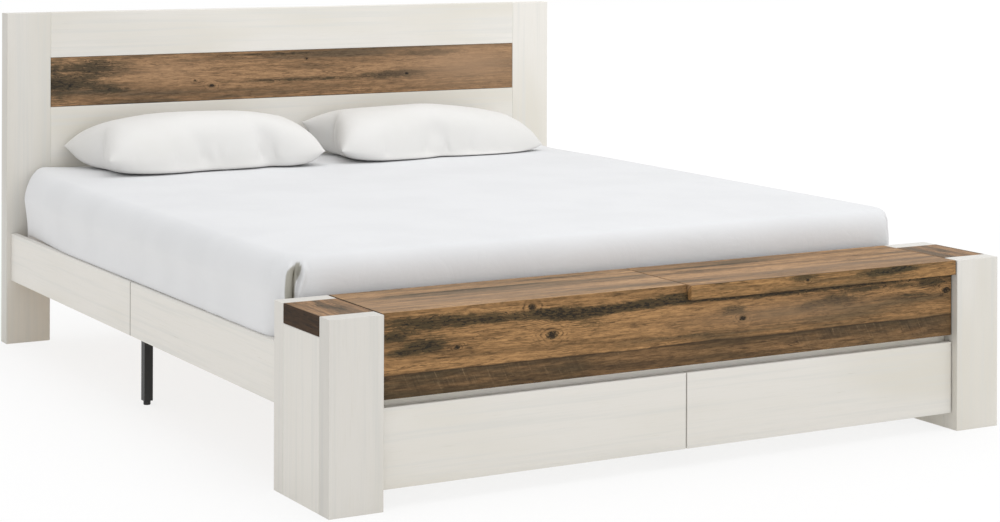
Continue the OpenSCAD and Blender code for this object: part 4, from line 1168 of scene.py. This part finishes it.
push = np.maximum(top_share * waves, 0) + (1 - top_share) * upright
tuck_share = np.where(x > 0, RIGHT_TUCK, 1.0) * in_corner
push = push + tuck_share * tuck(angle, z) * (1 - top_share)
outer = outer + normal * push[..., None]
inner = outer - normals_of(outer) * SHEET_THICK
print("slack of", round(float(push.min()), 4), "to", round(float(push.max()), 4), "m")

rings, points = outer.shape[:2]
count = rings * points
apex_out = outer[-1].mean(axis=0)
apex_in = inner[-1].mean(axis=0)
i = np.arange(points)
following = (i + 1) % points
hem = np.stack([following, i, count + i, count + following], axis=-1)
top_out = np.stack([(rings - 1) * points + i, (rings - 1) * points + following,
                    np.full(points, 2 * count)], axis=-1)
top_in = np.stack([count + (rings - 1) * points + following, count + (rings - 1) * points + i,
                   np.full(points, 2 * count + 1)], axis=-1)
cloth_points = np.concatenate([outer.reshape(-1, 3), inner.reshape(-1, 3), [apex_out, apex_in]])
sheet = new_piece("fitted_sheet_cloth", cloth_points,
                  [ring_faces(rings, points), ring_faces(rings, points, count, True),
                   hem, top_out, top_in], sheet_cotton)
# The tuck's painted shade goes on the left foot corner only
folds = np.where(in_corner & (x < 0), fold_shade(angle, z), 0).ravel()
painted_fold_shade = sheet.data.attributes.new("painted_fold_shade", "FLOAT", "POINT")
painted_fold_shade.data.foreach_set("value", np.concatenate([folds, np.zeros(count + 2)]))
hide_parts("fitted_sheet")
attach(sheet, "root")

# %% [markdown]
# ## Pillows
# A pillow case is two flat pieces sewn together and filled. Cloth simulation does what the filling
# does: pressure pushes the two layers apart, the edges are drawn in, and the cloth puckers along
# the seam and at the corners. The filled case is then laid in its place: its corners are pinned
# where the photograph shows them, its underside is flat on the sheet, and its top keeps the dome.

# %% A filled pillow case
CASE_WIDTH = 0.914
CASE_DEPTH = 0.508
CASE_COLUMNS = 64
CASE_ROWS = 36
EMPTY_HIGH = 0.012
LUMP_SHARE = 0.35
FILL_FRAMES = 34
FILL_PRESSURE = 3.2


def empty_case(lump):
    """Two layers of a grid that share their rim, a flat lens z = +-h (1 - u^4)(1 - v^4).

    A slow product of sines, shifted by lump, makes one case unlike the other. Also returns the
    upper and lower faces, and the grid of point numbers of each layer."""
    u, v = np.meshgrid(np.linspace(-1, 1, CASE_COLUMNS + 1), np.linspace(-1, 1, CASE_ROWS + 1))
    h = EMPTY_HIGH * (1 - u ** 4) * (1 - v ** 4)
    h = h * (1 + LUMP_SHARE * np.sin(3.1 * u + lump) * np.sin(2.3 * v - 2 * lump))
    top = np.stack([u * CASE_WIDTH / 2, v * CASE_DEPTH / 2, h], axis=-1).reshape(-1, 3)
    low = top * (1, 1, -1)
    ids = np.arange(len(top)).reshape(u.shape)
    under = ids.copy()
    under[1:-1, 1:-1] = len(top) + np.arange((CASE_ROWS - 1) * (CASE_COLUMNS - 1)).reshape(
        CASE_ROWS - 1, CASE_COLUMNS - 1)
    inside = ids[1:-1, 1:-1].ravel()
    a, b, c, d = ids[:-1, :-1], ids[:-1, 1:], ids[1:, 1:], ids[1:, :-1]
    upper = np.stack([a, b, c, d], axis=-1).reshape(-1, 4)
    a, b, c, d = under[:-1, :-1], under[:-1, 1:], under[1:, 1:], under[1:, :-1]
    lower = np.stack([a, d, c, b], axis=-1).reshape(-1, 4)
    return np.concatenate([top, low[inside]]), upper, lower, ids, under


def fill_case(piece):
    """Runs the cloth with pressure and without weight, and returns where its points end up."""
    cloth = piece.modifiers.new("filling", "CLOTH")
    cloth.settings.quality = 6
    cloth.settings.mass = 0.25
    cloth.settings.tension_stiffness = 25
    cloth.settings.compression_stiffness = 25
    cloth.settings.shear_stiffness = 6
    cloth.settings.bending_stiffness = 0.15
    cloth.settings.use_pressure = True
    cloth.settings.uniform_pressure_force = FILL_PRESSURE
    cloth.settings.effector_weights.gravity = 0
    cloth.point_cache.frame_start = 1
    cloth.point_cache.frame_end = FILL_FRAMES
    for moment in range(1, FILL_FRAMES + 1):
        scene.frame_set(moment)
    filled = piece.evaluated_get(bpy.context.evaluated_depsgraph_get())
    flat = np.empty(len(filled.data.vertices) * 3)
    filled.data.vertices.foreach_get("co", flat)
    piece.modifiers.remove(cloth)
    scene.frame_set(1)
    return flat.reshape(-1, 3)


print("an empty case has", len(empty_case(0.0)[0]), "points")

# %% Laying a pillow down
# How far the front bows forward, bulges below the seam and sags, and how the dome fills out
BELLY = 0.085
NOSE = 0.045
NOSE_AT, NOSE_WIDE = -0.45, 0.40
SAG = 0.014
FULLNESS = 0.68
IRONING = 12


def laid(points, layer, corners, top, rest):
    """Puts a filled case between its four corners.

    u and v run from -1 to 1 between the case's own corners, and the seam is the blend of the four
    corner places over u and v. Its front bows forward and sags under the filling's weight. With w
    from -1 to 1 through the filling, the upper layer rises from the seam to top as w^f, where top
    is a height at the left and one at the right, and the lower one sinks to rest as 1 - (1 - |w|)^4,
    which is flat where the case is full. Just below the seam the front bulges out as a nose."""
    centre = (points[:, :2].min(axis=0) + points[:, :2].max(axis=0)) / 2
    tips = points[layer[[0, 0, -1, -1], [0, -1, -1, 0]], :2] - centre
    reach = np.abs(tips).mean(axis=0)
    u, v = ((points[:, :2] - centre) / reach).T
    w = points[:, 2] / np.abs(points[:, 2]).max()
    front_left, front_right, back_right, back_left = (np.array(c) for c in corners)
    weights = np.stack([(1 - u) * (1 - v), (1 + u) * (1 - v), (1 + u) * (1 + v),
                        (1 - u) * (1 + v)], axis=-1) / 4
    seam = weights @ np.stack([front_left, front_right, back_right, back_left])
    forward = (1 - np.clip(u ** 4, 0, 1)) * ((1 - np.clip(v, -1, 1)) / 2) ** 2
    seam[:, 1] -= BELLY * forward
    seam[:, 2] -= SAG * forward
    up = np.clip(w, 0, 1) ** FULLNESS
    down = 1 - (1 - np.clip(-w, 0, 1)) ** 4
    top_here = top[0] + (top[1] - top[0]) * (1 + np.clip(u, -1, 1)) / 2
    place = seam.copy()
    place[:, 1] -= NOSE * forward * np.exp(-((w - NOSE_AT) / NOSE_WIDE) ** 2)
    place[:, 2] += up * (top_here - seam[:, 2]) - down * (seam[:, 2] - rest)
    return place


def ironed(points, *layers):
    """Evens each layer out: a point inside it moves halfway to the mean of its four neighbours."""
    points = points.copy()
    for _ in range(IRONING):
        for ids in layers:
            g = points[ids]
            mean = (g[:-2, 1:-1] + g[2:, 1:-1] + g[1:-1, :-2] + g[1:-1, 2:]) / 4
            points[ids[1:-1, 1:-1]] += (mean - g[1:-1, 1:-1]) / 2
    return points


print("a pillow's front bows forward by", BELLY, "m and sags by", SAG, "m")

# %% The two pillows
PILLOW_LIFT = 0.0005


def pillow(name, node, corners, top, lump):
    """Fills a case, lays it down, subdivides it once and hands it over."""
    points, upper, lower, over, under = empty_case(lump)
    piece = new_piece(name, points, [upper, lower], pillow_cotton)
    filled = ironed(fill_case(piece), over, under)
    thick = filled[:, 2].max() - filled[:, 2].min()
    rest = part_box(node)[0][2] + PILLOW_LIFT
    place = laid(filled, over, corners, top, rest)
    piece.data.vertices.foreach_set("co", place.ravel())
    piece.data.update()
    smooth = piece.modifiers.new("smooth", "SUBSURF")
    smooth.levels = smooth.render_levels = 1
    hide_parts(node)
    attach(piece, "root")
    print(name, "filled to", round(float(thick), 3), "m, laid from", place.min(axis=0).round(3),
          "to", place.max(axis=0).round(3))


# Corners: front left, front right, back right and back left
pillow("pillow_left_case", "pillow_left",
       [(-0.778, 0.790, 0.593), (-0.042, 0.790, 0.604), (-0.045, 1.135, 0.645),
        (-0.818, 1.138, 0.622)], (0.732, 0.722), 0.0)
pillow("pillow_right_case", "pillow_right",
       [(0.006, 0.790, 0.592), (0.810, 0.868, 0.566), (0.822, 1.135, 0.600),
        (0.019, 1.138, 0.660)], (0.738, 0.694), 1.3)
